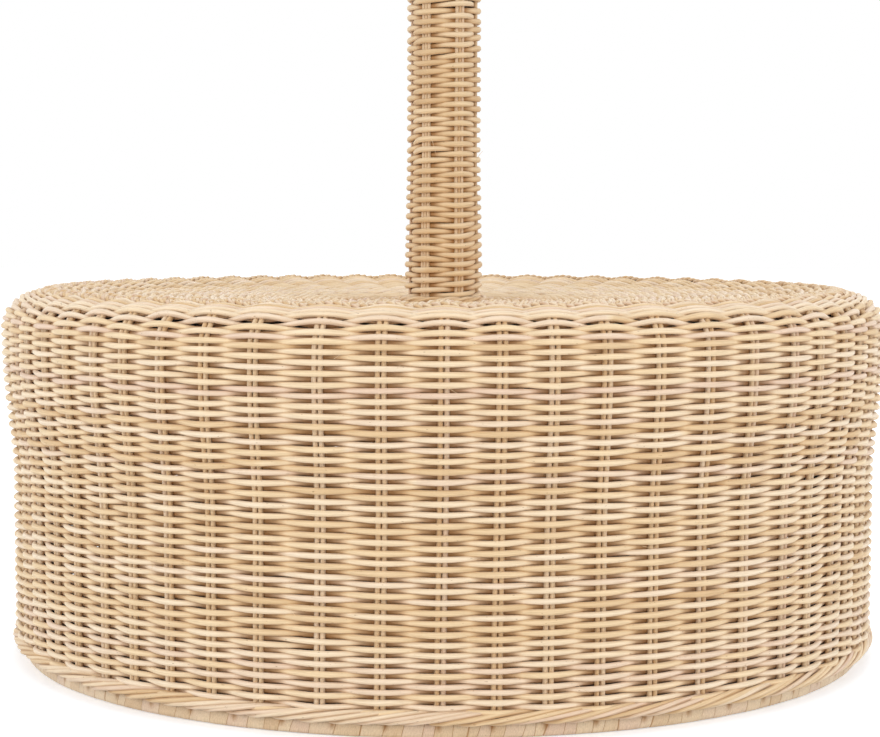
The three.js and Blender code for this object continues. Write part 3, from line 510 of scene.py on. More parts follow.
class Stakes:
    """Where the stakes of a woven surface stand: evenly round, but for their own jitter and sway.

    shifts are the degrees that the stakes before and after the first one stand away from even places.
    """

    def __init__(self, count, first, height, jitter, sway, shifts=()):
        self.count = count
        self.first = first
        self.height = height
        self.jitter = rng.uniform(-jitter, jitter, count)
        for k, shift in enumerate(shifts):
            self.jitter[k - len(shifts) // 2] += math.radians(shift)
        self.sway = wander(11, 3)
        self.amount = sway

    def number(self, angle, t):
        """Stake number, with its share towards the next stake, at an angle from 0 to a full turn."""
        s = np.arange(2 * self.count + 1.0) - self.count / 2
        return np.interp(angle, self.angle(s, np.full(len(s), t)), s)

    def angle(self, s, t):
        """Angle at stake number s, which may lie between two stakes, at arc length t."""
        i = np.floor(s).astype(int)
        f = s - i
        shift = self.jitter[i % self.count] * (1 - f) + self.jitter[(i + 1) % self.count] * f
        turns = s / self.count
        swayed = self.amount * self.sway(turns, t / self.height)
        return self.first + TURN * turns + shift + swayed


def weave(strands, profile, stakes, waves, span, rows, start_row=0, reach=WEAVE_REACH,
          radius=WEAVER_RADIUS, depth=None, steps=6, phase=0, per_turn=1, strand_length=(0.5, 2.2),
          gloom=1, wave_share=0.3, spread_behind=0.3, bump=0):
    """One weaver that spirals over span of the profile, before one stake and behind the next.

    It touches the profile before a stake and lies twice its reach deeper behind one. reach and radius
    may change from the span's start to its end, which both lie at the back. per_turn is the rows that
    a turn climbs, gloom how strongly a painted shade darkens it behind a stake and where rows cross,
    wave_share how far a row wanders, in pitches, spread_behind how much wider it is behind a stake,
    and bump how far each stake pushes the last rows out.
    """
    first, last = span
    s_first = (start_row / per_turn + 0.5) * stakes.count
    s_last = s_first + rows * stakes.count / per_turn
    s = s_first + np.arange(round((s_last - s_first) * steps) + 1) / steps
    share = (s - s_first) / (s_last - s_first)
    pitch = (last - first) / rows
    t = first + (last - first) * share
    t = t + waves(s / stakes.count, t / profile.length) * pitch * wave_share
    places = np.arange(math.floor(s[0] * 2) - 1, math.ceil(s[-1] * 2) + 2) / 2
    t = t + np.interp(s, places, rng.normal(0, 0.045, len(places))) * pitch
    swing = np.cos(math.pi * (s + phase))
    reach_here = np.interp(share, [0, 1], np.broadcast_to(reach, 2))
    radius_here = np.interp(share, [0, 1], np.broadcast_to(radius, 2))
    half_depth = radius_here if depth is None else depth
    angle = stakes.angle(s, t)
    pushed = bump * share**2 * np.cos(TURN * s)
    path, ups = profile.place(t, angle, reach_here * (swing - 1) - half_depth + pushed)
    length = np.cumsum(np.linalg.norm(np.diff(path, axis=0, prepend=path[:1]), axis=1))
    tone = strand_tones(length, *strand_length)
    thick = radius_here * (1 + 0.16 * (tone - 0.5))
    thick = thick * (1 + np.interp(s, places, rng.normal(0, 0.03, len(places))))
    across = thick * (0.87 + 0.1 * np.abs(swing) + spread_behind * ease(-swing, 0.2, 0.9))
    through = thick if depth is None else thick * depth / radius_here
    # Painted shade: darker where the weaver passes behind a stake, and on its sides where rows cross
    painted_shade = gloom * 0.8 * ease(-swing, 0.1, 0.75)
    edge = gloom * 0.45 * (1 - np.abs(swing)) ** 0.7
    strands.add(path, ups, across, through, tone, painted_shade, edge)


def place_stakes(strands, profile, stakes, spread, radius, span, depth, points):
    """Stakes over span of the profile, at depth below it: one depth, or two lists (places, depths)."""
    t = np.linspace(*span, points)
    deep = np.interp(t, *depth) if isinstance(depth, tuple) else depth
    for number in range(stakes.count):
        for offset in spread:
            angle = stakes.angle(np.full(points, float(number)), t) + offset / profile.radius(t)
            path, ups = profile.place(t, angle, rng.uniform(-0.1, 0.1) * MM - deep)
            # Stakes carry a light painted shade, as they lie behind the weavers
            strands.add(path, ups, radius, None, rng.beta(2, 2), STAKE_GLOOM)


def circle(centre_r, period, steps):
    """Turns of about period round a circle, and at each step its angle and the outward and upward ways."""
    turns = round(TURN * centre_r / period)
    n = turns * steps
    angle = TURN * np.arange(n) / n
    return turns, angle, around(1, angle, 0 * angle), np.array([0, 0, 1.0])


def plait(strands, centre_r, centre_z, out, width, depth, period, radius, steps=20, rise=None):
    """Three doubled strands plaited round a circle. out is the direction (radial, up) that the face looks
    to, and rise gives how far the plait stands up at each angle."""
    out_r, out_z = out
    turns, angle, radial, upward = circle(centre_r, period, steps)
    face = radial * out_r + upward * out_z
    wide = -radial * out_z + upward * out_r
    for k in range(3):
        phase = turns * angle + TURN * k / 3
        x = width * np.sin(phase)
        y = depth * np.sin(2 * phase)
        path = radial * centre_r + upward * centre_z + wide * x[:, None] + face * y[:, None]
        if rise is not None:
            path = path + upward * rise(angle)[:, None]
        beside = np.cross(directions(path, True), face)
        # Painted shade where a strand dips under the others, and on the sides that face its neighbours
        painted_shade = 0.55 * ease(-np.sin(2 * phase), 0.2, 1)
        for offset in (-0.92, 0.92):
            strand = path + beside * radius * offset
            length = np.arange(len(angle)) * period / steps
            tone = strand_tones(length, 0.15, 0.5)
            strands.add(strand, face, radius, None, tone, painted_shade, 0.55, closed=True)


def rope(strands, centre_r, centre_z, offset, period, radius, count, steps=14):
    """A few strands twisted together round a circle."""
    turns, angle, radial, upward = circle(centre_r, period, steps)
    for k in range(count):
        phase = turns * angle + TURN * k / count
        off = radial * np.cos(phase)[:, None] + upward * np.sin(phase)[:, None]
        path = radial * centre_r + upward * centre_z + off * offset
        # A slight painted shade on each strand, more on the sides that face the other strands
        strands.add(path, off, radius, None, rng.beta(2, 2), 0.1, 0.3, closed=True)


def thirds(rows):
    """Number, start and end of three parts of some rows."""
    cuts = [0, rows // 3, 2 * rows // 3, rows]
    return zip((1, 2, 3), cuts[:-1], cuts[1:])


# Base


def base_outline():
    """Outer face of the woven skin: up the side from just below its foot, over the shoulder and in."""
    side_low, side_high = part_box("base_side_weave")
    shoulder_r = SIDE_RADIUS + BASE_FLARE - SHOULDER_RADIUS
    shoulder_z = side_high.z - SHOULDER_RADIUS
    wall = shoulder_z - side_low.z
    share = np.linspace(-SIDE_TUCK / wall, 1, 60)
    swell = np.clip((share - FLARE_START_SHARE) / (FLARE_END_SHARE - FLARE_START_SHARE), 0, 1)
    wall_r = SIDE_RADIUS + BASE_FLARE * (1 - np.cos(math.pi * swell)) / 2
    wall_z = side_low.z + wall * share
    turn = np.linspace(0, math.pi / 2, 24)[1:]
    arc_r = shoulder_r + SHOULDER_RADIUS * np.cos(turn)
    arc_z = shoulder_z + SHOULDER_RADIUS * np.sin(turn)
    top_r = np.linspace(shoulder_r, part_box("stem_weave")[1].x, 90)[1:]
    top_z = side_high.z - TOP_DISH + TOP_DISH * (top_r / shoulder_r) ** 2
    outer_r = np.concatenate([wall_r, arc_r, top_r])
    outer_z = np.concatenate([wall_z, arc_z, top_z])
    width = np.where(outer_r > RIM_RADIUS, RIM_OUTER_WIDTH, RIM_INNER_WIDTH)
    rise = RIM_RISE * (1 - ease(np.abs(outer_r - RIM_RADIUS) / width, 0, 1))
    outer_z = np.where(outer_z > shoulder_z, outer_z + rise, outer_z)
    return np.stack([outer_r, outer_z], -1)


drum = Profile(base_outline())
base_stakes = Stakes(BASE_STAKES, FRONT, drum.length, 0.004, 0.01, FRONT_SHIFTS)
inner_stakes = Stakes(INNER_TOP_STAKES, FRONT, drum.length, 0.008, 0.02)
plait_outer_t = drum.where(PLAIT_RADIUS + PLAIT_HALF_WIDTH)
plait_inner_t = drum.where(PLAIT_RADIUS - PLAIT_HALF_WIDTH)


def in_inlet(corners):
    """Whether corners lie in the hole that the grommet lines."""
    low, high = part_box("cord_grommet")
    off = np.hypot(corners[:, 0], corners[:, 2] - (low.z + high.z) / 2)
    return (corners[:, 1] > 0) & (off < INLET_RADIUS)


def make_base_side():
    waves = wander(26, 30)
    rows = round((SIDE_LENGTH + SIDE_TUCK - SIDE_FOOT) / ROW_PITCH)
    top = SIDE_FOOT + rows * ROW_PITCH
    crest_top = top + CREST_ROWS * CREST_PITCH
    shoulder_span = (crest_top, plait_outer_t)
    shoulder_rows = round((plait_outer_t - crest_top) / SHOULDER_PITCH)
    parts = []
    for number, a, b in thirds(rows):
        span = (SIDE_FOOT + a * ROW_PITCH, SIDE_FOOT + b * ROW_PITCH)
        parts.append((f"base_side_weavers_{number}", span, b - a, a, WEAVE_REACH, WEAVER_RADIUS, 1, 0))
    parts.append(("base_crest_weavers", (top, crest_top), CREST_ROWS, rows, CREST_REACH, WEAVER_RADIUS,
                  1, 0))
    parts.append(("base_shoulder_weavers", shoulder_span, shoulder_rows, rows + CREST_ROWS,
                  SHOULDER_REACHES, SHOULDER_WEAVER_RADII, SHOULDER_GLOOM, CREST_BUMP))
    for name, span, count, start_row, reach, radius, gloom, bump in parts:
        strands = Strands(8)
        weave(strands, drum, base_stakes, waves, span, count, start_row, reach, radius,
              gloom=gloom, bump=bump)
        finish_strands(strands, name, "base_side_weave", opening=in_inlet)
    stakes = Strands(6)
    side_depth = WEAVE_REACH + WEAVER_RADIUS
    crest_depth = SHOULDER_REACH + SHOULDER_WEAVER_RADIUS
    top_depth = TOP_REACH + TOP_WEAVER_RADIUS
    depth = ([top, plait_outer_t, plait_inner_t], [side_depth, crest_depth, top_depth])
    span = (0, drum.where(INNER_TOP_RADIUS))
    place_stakes(stakes, drum, base_stakes, STAKE_PAIR, STAKE_RADIUS, span, depth, 70)
    finish_strands(stakes, "base_stakes", "base_side_weave", opening=in_inlet)


def over_stakes(angle):
    """How far the stakes under the crest push up what lies over them, at each angle."""
    return CREST_BUMP * np.cos(TURN * base_stakes.number(angle, plait_outer_t))


def make_base_top():
    waves = wander(16, 30)
    change = drum.where(INNER_TOP_RADIUS)
    parts = [
        ("outer", base_stakes, (plait_inner_t, change), (TOP_FIRST_REACH, TOP_REACH)),
        ("inner", inner_stakes, (change, drum.length), TOP_REACH),
    ]
    for name, stakes, span, reach in parts:
        strands = Strands(6)
        rows = round((span[1] - span[0]) / TOP_PITCH)
        weave(strands, drum, stakes, waves, span, rows, reach=reach, radius=TOP_WEAVER_RADIUS,
              gloom=TOP_GLOOM)
        if stakes is inner_stakes:
            depth = TOP_REACH + TOP_WEAVER_RADIUS
            place_stakes(strands, drum, stakes, INNER_STAKE_PAIR, INNER_STAKE_RADIUS, span,
                         depth, 20)
        finish_strands(strands, "base_top_weavers_" + name, "base_top_weave")
    ring = Strands(6)
    level = drum.place(np.array([change]), np.array([0.0]), -TOP_ROPE_DEPTH)[0][0]
    rope(ring, INNER_TOP_RADIUS, level[2], *TOP_ROPE)
    finish_strands(ring, "base_top_rope", "base_top_weave")
    braid = Strands(6)
    middle = np.array([drum.where(PLAIT_RADIUS)])
    lift = PLAIT_SUNK - PLAIT_HEIGHT - PLAIT_STRAND_RADIUS
    place, face = drum.place(middle, np.array([0.0]), lift)
    plait(braid, place[0][0], place[0][2], (face[0][0], face[0][2]), *TOP_PLAIT, rise=over_stakes)
    finish_strands(braid, "base_top_plait_strands", "base_top_plait")


def make_foot_border():
    low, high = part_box("foot_braid")
    inner_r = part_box("foot_ring")[1].x + BORDER_INSET
    centre_r = (inner_r + high.x) / 2
    centre_z = (low.z + high.z) / 2 - BORDER_DROP
    half_wide = (high.x - inner_r) / 2 - BORDER_STRAND_RADIUS
    half_high = BORDER_HALF_HEIGHT - BORDER_STRAND_RADIUS
    strands = Strands(6)
    share = np.linspace(0, 1, 26)
    gap = TURN / BASE_STAKES
    for k in range(BASE_STAKES):
        for offset in BORDER_PAIR_SHARES:
            start = FRONT + gap * (k + offset + rng.uniform(-0.06, 0.06))
            run = BORDER_RUN * rng.uniform(0.92, 1.1) / high.x
            section = np.interp(share, BORDER_STOP_SHARES, BORDER_TURNS)
            angle = start + run * np.interp(share, BORDER_STOP_SHARES, BORDER_ADVANCE_SHARES)
            lift = rng.uniform(-0.45, 0.2) * MM + 0.7 * MM * (share - 0.5)
            level, up = np.cos(section), np.sin(section)
            path = around(centre_r + (half_wide + lift) * level, angle, centre_z + (half_high + lift) * up)
            out = around(level, angle, up)
            radius = BORDER_STRAND_RADIUS * rng.uniform(0.88, 1.08)
            # A slight painted shade, more on the sides that face the neighbouring strands
            strands.add(path, out, radius, None, rng.beta(1.6, 1.6), 0.04, 0.6)
    finish_strands(strands, "foot_border_strands", "foot_braid")


def make_foot_wrap():
    """Cane strip wound round the foot ring: each turn is a raised plate, with a notch before it."""
    low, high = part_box("foot_ring")
    half_wide = WRAP_HALF_WIDTH - STRIP_THICKNESS
    half_high = (high.z - low.z) / 2 - STRIP_THICKNESS
    centre_r = high.x - WRAP_CENTRE_INSET
    centre_z = high.z / 2
    turn = TURN * (np.arange(WRAP_SIDES) + 0.5) / WRAP_SIDES
    round_r = np.sign(np.cos(turn)) * np.abs(np.cos(turn)) ** 0.5
    round_z = np.sign(np.sin(turn)) * np.abs(np.sin(turn)) ** 0.5
    widths = []
    while sum(widths) < TURN * high.x:
        widths.append(rng.uniform(*STRIP_WIDTHS))
    widths = np.array(widths) * TURN / sum(widths)
    count = len(widths)
    edges = np.cumsum(widths) - widths
    is_wide = rng.uniform(0, 1, count) < NOTCH_SHARE
    notch = np.where(is_wide, WIDE_NOTCH, NARROW_NOTCH)[:, None] * MM / high.x
    wide = widths[:, None]
    edge = WRAP_EDGE / high.x
    face = notch + edge + (wide - notch - 2 * edge) * np.linspace(0, 1, WRAP_FACE_RINGS)
    at = np.concatenate([0 * wide, notch * 0.6, notch, face, wide - edge * 0.3], 1) / wide
    rings = at.shape[1]
    angle = (edges[:, None] + wide * at).ravel()
    rise = np.array([0.3, 0.4, 0.85] + [1.0] * WRAP_FACE_RINGS + [0.9])
    lift = np.tile(rise, count) * STRIP_THICKNESS
    lift = lift * np.repeat(rng.uniform(0.7, 1.0, count), rings)
    tone = np.repeat(rng.beta(1.5, 1.5, count), rings)
    # Painted shade in the notch before each turn, and a little at the plate's far end
    seam = np.tile([0.8, 0.75, 0.12] + [0.0] * WRAP_FACE_RINGS + [0.15], count)
    slant = rng.uniform(0.4, 1.5, count)[:, None] * MM / high.x
    slant = (slant * (1 - at) + np.roll(slant, -1, 0) * at).ravel()
    r = centre_r + (half_wide + lift[:, None]) * round_r
    z = centre_z + (half_high + lift[:, None]) * round_z
    ring = around(r, angle[:, None] + slant[:, None] * round_z, z)
    girth = np.cumsum(np.full(WRAP_SIDES, STRIP_GIRTH_STEP))
    girth = girth + np.repeat(rng.uniform(0, 50, count), rings)[:, None]
    grain = np.stack([girth, angle[:, None] * high.x + 0 * r, 0 * r], -1)
    # Painted shadow under the border's strands, once a stake, on the upper part of the wrap
    gap = TURN / BASE_STAKES
    from_stake = (angle / gap + 0.35) % 1 - 0.5
    shade = 0.9 * np.exp(-((from_stake / 0.06) ** 2))[:, None]
    shade = shade * ease(z, *UNDER_BORDER)
    painted_shade = np.clip(seam[:, None] + shade, 0, 1)[:, ::-1]
    strands = Strands(WRAP_SIDES)
    strands.add_rings(ring[:, ::-1], tone[:, None] + 0 * r, painted_shade, grain[:, ::-1], closed=True)
    finish_strands(strands, "foot_ring_wrapping", "foot_ring", cane, "cane")


# Stem


def make_stem():
    low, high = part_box("stem_weave")
    base_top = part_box("base_side_weave")[1].z - TOP_DISH
    foot_r = high.x + STEM_PROUD
    straight_r = STEM_RADIUS + STEM_PROUD
    outline = [(foot_r, low.z), (foot_r, base_top + STEM_FLARE_LOW),
               (straight_r, base_top + STEM_FLARE_HIGH), (straight_r, high.z)]
    profile = Profile(dense(outline, 4 * MM))
    groups = Stakes(STEM_GROUPS, STEM_FIRST_GROUP, profile.length, 0.02, 0.05, STEM_SHIFTS)
    first = base_top - low.z - STEM_START_DROP
    last = profile.length - STEM_WEAVER_RADIUS
    rows = round((last - first) / STEM_ROW_PITCH)
    pitch = (last - first) / rows
    waves = wander(6, 90)
    upper_rows = rows - STEM_FINE_ROWS - 1
    parts = [
        ("stem_weavers_lower", first, STEM_FINE_ROWS, 0, 8),
        ("stem_weavers_upper", first + STEM_FINE_ROWS * pitch, upper_rows, STEM_FINE_ROWS, 6),
    ]
    for name, start, count, start_row, sides in parts:
        strands = Strands(sides)
        for phase in (0, 1):
            low_end = start + phase * pitch
            span = (low_end, low_end + count * pitch)
            weave(strands, profile, groups, waves, span, count, start_row, STEM_REACH,
                  STEM_WEAVER_RADIUS, STEM_WEAVER_DEPTH, 8, phase, 2, (0.3, 1.2), STEM_GLOOM, 0.5, 0.1)
        finish_strands(strands, name, "stem_weave", shaded_stem_rattan)
    stakes = Strands(6)
    spread = (-STEM_GROUP_SPREAD, 0, STEM_GROUP_SPREAD)
    depth = STEM_REACH + STEM_WEAVER_DEPTH
    place_stakes(stakes, profile, groups, spread, STEM_STRAND_RADIUS, (0, profile.length), depth, 120)
    finish_strands(stakes, "stem_stakes", "stem_weave", shaded_stem_rattan)
    collar = Strands(8)
    rope(collar, foot_r + COLLAR_OFFSET, base_top + COLLAR_RISE, *COLLAR_ROPE)
    finish_strands(collar, "stem_collar_rope", "stem_foot_collar", shaded_stem_rattan)
    ring = Strands(8)
    rope(ring, straight_r - STEM_TOP_ROPE_INSET, high.z - STEM_TOP_ROPE_DROP, *STEM_TOP_ROPE)
    finish_strands(ring, "stem_top_rope", "stem_weave", shaded_stem_rattan)
    binding = Strands(6)
    low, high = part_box("stem_end_binding")
    middle = (low.z + high.z) / 2
    plait(binding, high.x - BINDING_PLAIT_INSET, middle, (1, 0), *BINDING_PLAIT)
    rope(binding, high.x - BINDING_ROPE_INSET, middle, *BINDING_ROPE)
    finish_strands(binding, "stem_end_plait", "stem_end_binding", cane, "cane")
    return profile


# Shade


def make_shade():
    low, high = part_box("shade_weave")
    bottom_r = high.x
    top_r = bottom_r - SHADE_TAPER * (high.z - low.z) / SHADE_TAPER_HEIGHT
    lean = (bottom_r - top_r) / (high.z - low.z) * SHADE_UNDERLAP
    ends = [(bottom_r + lean, low.z - SHADE_UNDERLAP), (top_r - lean, high.z + SHADE_UNDERLAP)]
    profile = Profile(dense(ends, 10 * MM))
    stakes = Stakes(SHADE_STAKES, FRONT, profile.length, 0.006, 0.012)
    waves = wander(22, 50)
    first = SHADE_END
    last = profile.length - SHADE_END
    rows = round((last - first) / SHADE_PITCH)
    for number, a, b in thirds(rows):
        span = (first + (last - first) * a / rows, first + (last - first) * b / rows)
        strands = Strands(6)
        weave(strands, profile, stakes, waves, span, b - a, a, radius=SHADE_WEAVER_RADIUS, steps=5)
        finish_strands(strands, f"shade_weavers_{number}", "shade_weave", body="shade")
    uprights = Strands(6)
    depth = WEAVE_REACH + WEAVER_RADIUS
    place_stakes(uprights, profile, stakes, STAKE_PAIR, STAKE_RADIUS, (0, profile.length), depth, 40)
    finish_strands(uprights, "shade_stakes", "shade_weave", body="shade")
    for node in ("shade_top_braid", "shade_bottom_braid"):
        low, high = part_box(node)
        braid = Strands(6)
        plait(braid, high.x - SHADE_BRAID_INSET, (low.z + high.z) / 2, (1, 0), *SHADE_PLAIT)
        finish_strands(braid, node + "_strands", node, body="shade")


# Loose fibres


def make_fibres(name, profile, first, last, count, node):
    strands = Strands(4)
    share = np.linspace(0, 1, 7)
    for _ in range(count):
        angle = rng.uniform(0, TURN)
        t = rng.uniform(first, last)
        reach = rng.uniform(3, 9) * MM
        lean = rng.uniform(-1.3, 1.3)
        stand = rng.uniform(0.1, 0.6) * reach
        along_t = t + reach * share * math.sin(lean) + rng.uniform(-2, 2) * MM * share**2
        along_angle = angle + reach * share * math.cos(lean) / profile.radius(t)
        path, ups = profile.place(along_t, along_angle, stand * share**1.5 - FIBRE_SINK)
        radius = FIBRE_RADIUS * (1 - 0.6 * share)
        # Loose fibres carry a slight painted shade
        strands.add(path, ups, radius, None, 0.6, 0.1)
    finish_strands(strands, name, node)


make_base_side()
make_base_top()
make_foot_border()
make_foot_wrap()
stem_profile = make_stem()
make_shade()
make_fibres("base_loose_fibres", drum, 5 * MM, SIDE_LENGTH, FIBRE_COUNT, "base_side_weave")
make_fibres("stem_loose_fibres", stem_profile, 20 * MM, 0.5, STEM_FIBRE_COUNT, "stem_weave")


# Finishes of the hardware


def coated(name, dark, light, scale, roughness, relief, metallic=0.0, stretch=(1, 1, 1)):
    """A finish that wanders between two colours, with a fine relief. scale is in cells a metre."""
    material, tree, shader = new_material(name)
    place = make_node(tree, "TexCoord", {}).outputs["Object"]
    place = stretched(tree, place, stretch)
    broad = noise(tree, place, scale * 0.1, 3.0)
    fine = noise(tree, place, scale, 4.0, 0.6)
    share = maths(tree, "ADD", maths(tree, "MULTIPLY", broad, 0.6), maths(tree, "MULTIPLY", fine, 0.4))
    base = ramp(tree, share, [(0.36, dark), (0.62, light)])
    relieved(tree, shader, base, share, (roughness + 0.09, roughness - 0.07), fine, relief, (0.3, 0.7))
    plug(shader, {"Metallic": metallic})
    return material


ALONG_TURNED = (1, 1, 14)
# Of each slot: name, darkest and lightest colour, cells a metre, roughness, relief, metallic, stretch
FINISH_TABLE = {
    "frame_steel": ("black_paint", (30, 30, 31), (44, 44, 45), 900, 0.42, 0.03 * MM),
    "cast_iron": ("iron_casting", (44, 42, 40), (74, 70, 66), 500, 0.8, 0.4 * MM),
    "zinc_steel": ("zinc_plate", (184, 187, 190), (208, 210, 212), 500, 0.36, 0.01 * MM, 1),
    "brass": ("brushed_brass", (186, 146, 84), (212, 174, 110), 240, 0.3, 0.01 * MM, 1, ALONG_TURNED),
    "aluminium": ("pressed_aluminium", (206, 207, 208), (226, 226, 226), 400, 0.36, 0.01 * MM, 1),
    "rubber": ("matt_rubber", (28, 28, 28), (42, 41, 40), 1500, 0.85, 0.06 * MM),
    "hardboard": ("fibreboard", (92, 66, 44), (130, 96, 66), 1200, 0.85, 0.1 * MM),
    "phenolic": ("moulded_phenolic", (22, 20, 19), (38, 33, 30), 260, 0.3, 0.01 * MM),
    "paper": ("pressed_paper", (176, 154, 120), (202, 182, 148), 1500, 0.9, 0.06 * MM),
    "opal_glass": ("opal_glass_white", (240, 236, 226), (248, 246, 240), 60, 0.16, 0.01 * MM),
}
FINISHES = {
    slot: coated(name, srgb(*dark), srgb(*light), *rest)
    for slot, (name, dark, light, *rest) in FINISH_TABLE.items()
}
CAD_BEVEL = 0.25 * MM
TURNED_BEVEL = 0.2 * MM
SHARP_ANGLE = math.radians(38)


def soften(piece, width):
    """Small bevels on the sharp edges and smooth shading between them."""
    weld = piece.modifiers.new("weld", "WELD")
    weld.merge_threshold = MM / 100
    bevel = piece.modifiers.new("bevel", "BEVEL")
    bevel.width = width
    bevel.segments = 2
    bevel.limit_method = "ANGLE"
    bevel.angle_limit = SHARP_ANGLE
    piece.modifiers.new("normals", "WEIGHTED_NORMAL")
    smooth = np.ones(len(piece.data.polygons), bool)
    piece.data.polygons.foreach_set("use_smooth", smooth)


def dress_hardware():
    slot_of = {part["node"]: part["material_slot"] for part in frame["record"]["subparts"]}
    for name, slot in slot_of.items():
        if slot in FINISHES:
            nodes[name].material_slots[0].material = FINISHES[slot]
            soften(nodes[name], CAD_BEVEL)


# Turned pieces


def curve_through(points, steps=8):
    """A smooth line through points."""
    p = np.array(points, float)
    p = np.concatenate([[2 * p[0] - p[1]], p, [2 * p[-1] - p[-2]]])
    u = np.arange(steps)[:, None] / steps
    made = []
    for a, b, c, d in zip(p[:-3], p[1:-2], p[2:-1], p[3:]):
        slope_b, slope_c = (c - a) / 2, (d - b) / 2
        made.append(
            b * (1 + 2 * u) * (1 - u) ** 2 + slope_b * u * (1 - u) ** 2
            + c * u**2 * (3 - 2 * u) - slope_c * u**2 * (1 - u)
        )
    return np.concatenate(made + [p[-2:-1]])


def turned(node, outline, place, along="z", sides=64, flutes=0, flute_depth=0.0, twist=0.0):
    """A solid turned about an axis through place, from its closed outline of (radius, distance along).

    flutes are cut lengthwise; twist turns the outline's radius into a screw thread of that pitch.
    """
    outline = np.array(outline, float)
    turn = TURN * np.arange(sides) / sides
    r = np.repeat(outline[:, :1], sides, 1)
    h = np.repeat(outline[:, 1:], sides, 1)
    if flutes:
        outermost = r > 0.8 * outline[:, 0].max()
        r = np.where(outermost, r - flute_depth * (1 - np.cos(flutes * turn)) / 2, r)
    if twist:
        thread = (r > 0.9 * outline[:, 0].max()) & (h > THREAD_START)
        wave = (1 - np.cos(TURN * h / twist - turn)) / 2
        r = np.where(thread, r - THREAD_DEPTH * wave, r)
    x, y = r * np.cos(turn), r * np.sin(turn)
    if along == "z":
        corners = np.stack([x, y, h], -1)
    else:
        corners = np.stack([x, -h, y], -1)
    corners = corners + np.array(place)
    n = len(outline)
    i, j = np.indices((n, sides))
    i2, j2 = (i + 1) % n, (j + 1) % sides
    quads = np.stack([i * sides + j, i * sides + j2, i2 * sides + j2, i2 * sides + j], -1).reshape(-1, 4)
    mesh = bpy.data.meshes.new(node + "_turned")
    mesh.from_pydata(corners.reshape(-1, 3).tolist(), [], quads.tolist())
    uv = mesh.uv_layers.new(name="OFBake")
    u = np.stack([j, j + 1, j + 1, j], -1) / sides
    v = np.stack([i, i, i + 1, i + 1], -1) / n
    uv.data.foreach_set("uv", np.stack([u, v], -1).astype(np.float32).ravel())
    shaped = bmesh.new()
    shaped.from_mesh(mesh)
    bmesh.ops.remove_doubles(shaped, verts=shaped.verts, dist=MM / 100)
    bmesh.ops.recalc_face_normals(shaped, faces=shaped.faces)
    shaped.to_mesh(mesh)
    shaped.free()
    piece = add_object(node + "_turned", mesh)
    mesh.materials.append(nodes[node].material_slots[0].material)
    soften(piece, TURNED_BEVEL)
    return piece


def finish_turned(node, body, slot, outline, along="z", *shape):
    low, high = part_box(node)
    place = (0, 0, low.z) if along == "z" else (0, high.y, (low.z + high.z) / 2)
    finish_piece(turned(node, outline, place, along, *shape), body, slot, node)


FINIAL_SHARES = [(0.65, 0), (0.65, 0.08), (0.6, 0.16), (0.42, 0.26), (0.74, 0.42), (1, 0.62), (0.8, 0.88),
                 (0.36, 1)]
BULB_SHARES = [(0.45, 0), (0.5, 0.12), (0.72, 0.32), (0.94, 0.5), (1, 0.66), (0.9, 0.83), (0.56, 0.96),
               (0, 1)]
# Harp: radius of its wire, shape of its bow, and radius and height of its hub and of its stud
HARP_WIRE_RADIUS = 1.9 * MM
HARP_HALF_WIDTH = 62 * MM
HARP_FOOT_X = 31 * MM
HARP_STRAIGHT = 34 * MM
HARP_WIDEST_SHARE = 0.45
HARP_HUB = (6 * MM, 6 * MM)
HARP_STUD = (3.1 * MM, 17 * MM)
SMALL_ROUND = 0.6 * MM
EDGE_ROUND = 0.8 * MM
FINIAL_BORE = 3.5 * MM
CAP_BORE = 5.6 * MM
# Grommet: radii of its lip, its neck and its bore, and the depth of each lip
GROMMET = (8.5 * MM, 5.5 * MM, 2.75 * MM, 1.5 * MM)
KNOB_FLUTES = (18, 0.6 * MM)
THREAD_START = 4 * MM
THREAD_PITCH = 3.6 * MM
THREAD_DEPTH = 0.7 * MM


def bent(handles, steps=40):
    """A smooth curve from its two ends and the two handles between them."""
    a, b, c, d = np.array(handles, float)
    u = np.linspace(0, 1, steps)[:, None]
    return a * (1 - u) ** 3 + 3 * b * u * (1 - u) ** 2 + 3 * c * u**2 * (1 - u) + d * u**3


def make_harp():
    low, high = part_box("harp")
    hub, tall = HARP_HUB
    stud, stud_tall = HARP_STUD
    seat = high.z - stud_tall
    top = seat - tall / 2
    bend = low.z + HARP_STRAIGHT
    widest = low.z + (top - low.z) * HARP_WIDEST_SHARE
    x, wide = HARP_FOOT_X, HARP_HALF_WIDTH
    rise = widest - bend
    lower = [(x, bend), (x, bend + 0.35 * rise), (wide, widest - 0.5 * rise), (wide, widest)]
    upper = [(wide, widest), (wide, widest + 0.6 * (top - widest)), (0.7 * wide, top), (0, top)]
    half = np.concatenate([[(x, low.z)], bent(lower), bent(upper)[1:]])
    line = np.concatenate([half, half[-2::-1] * (-1, 1)])
    path = np.stack([line[:, 0], 0 * line[:, 0], line[:, 1]], -1)
    wire = Strands(14)
    wire.add(path, np.array([0.0, 1.0, 0.0]), HARP_WIRE_RADIUS)
    finish_strands(wire, "harp_wire_drawn", "harp", FINISHES["brass"], "brass")
    end = tall + stud_tall
    outline = [(0, 0), (hub - EDGE_ROUND, 0), (hub, EDGE_ROUND), (hub, tall - SMALL_ROUND),
               (hub - SMALL_ROUND, tall), (stud, tall), (stud, end - SMALL_ROUND), (stud - SMALL_ROUND, end),
               (0, end)]
    piece = turned("harp", outline, (0, 0, seat - tall), "z", 48)
    piece.name = "harp_hub_turned"
    finish_piece(piece, "lamp", "brass", "harp")


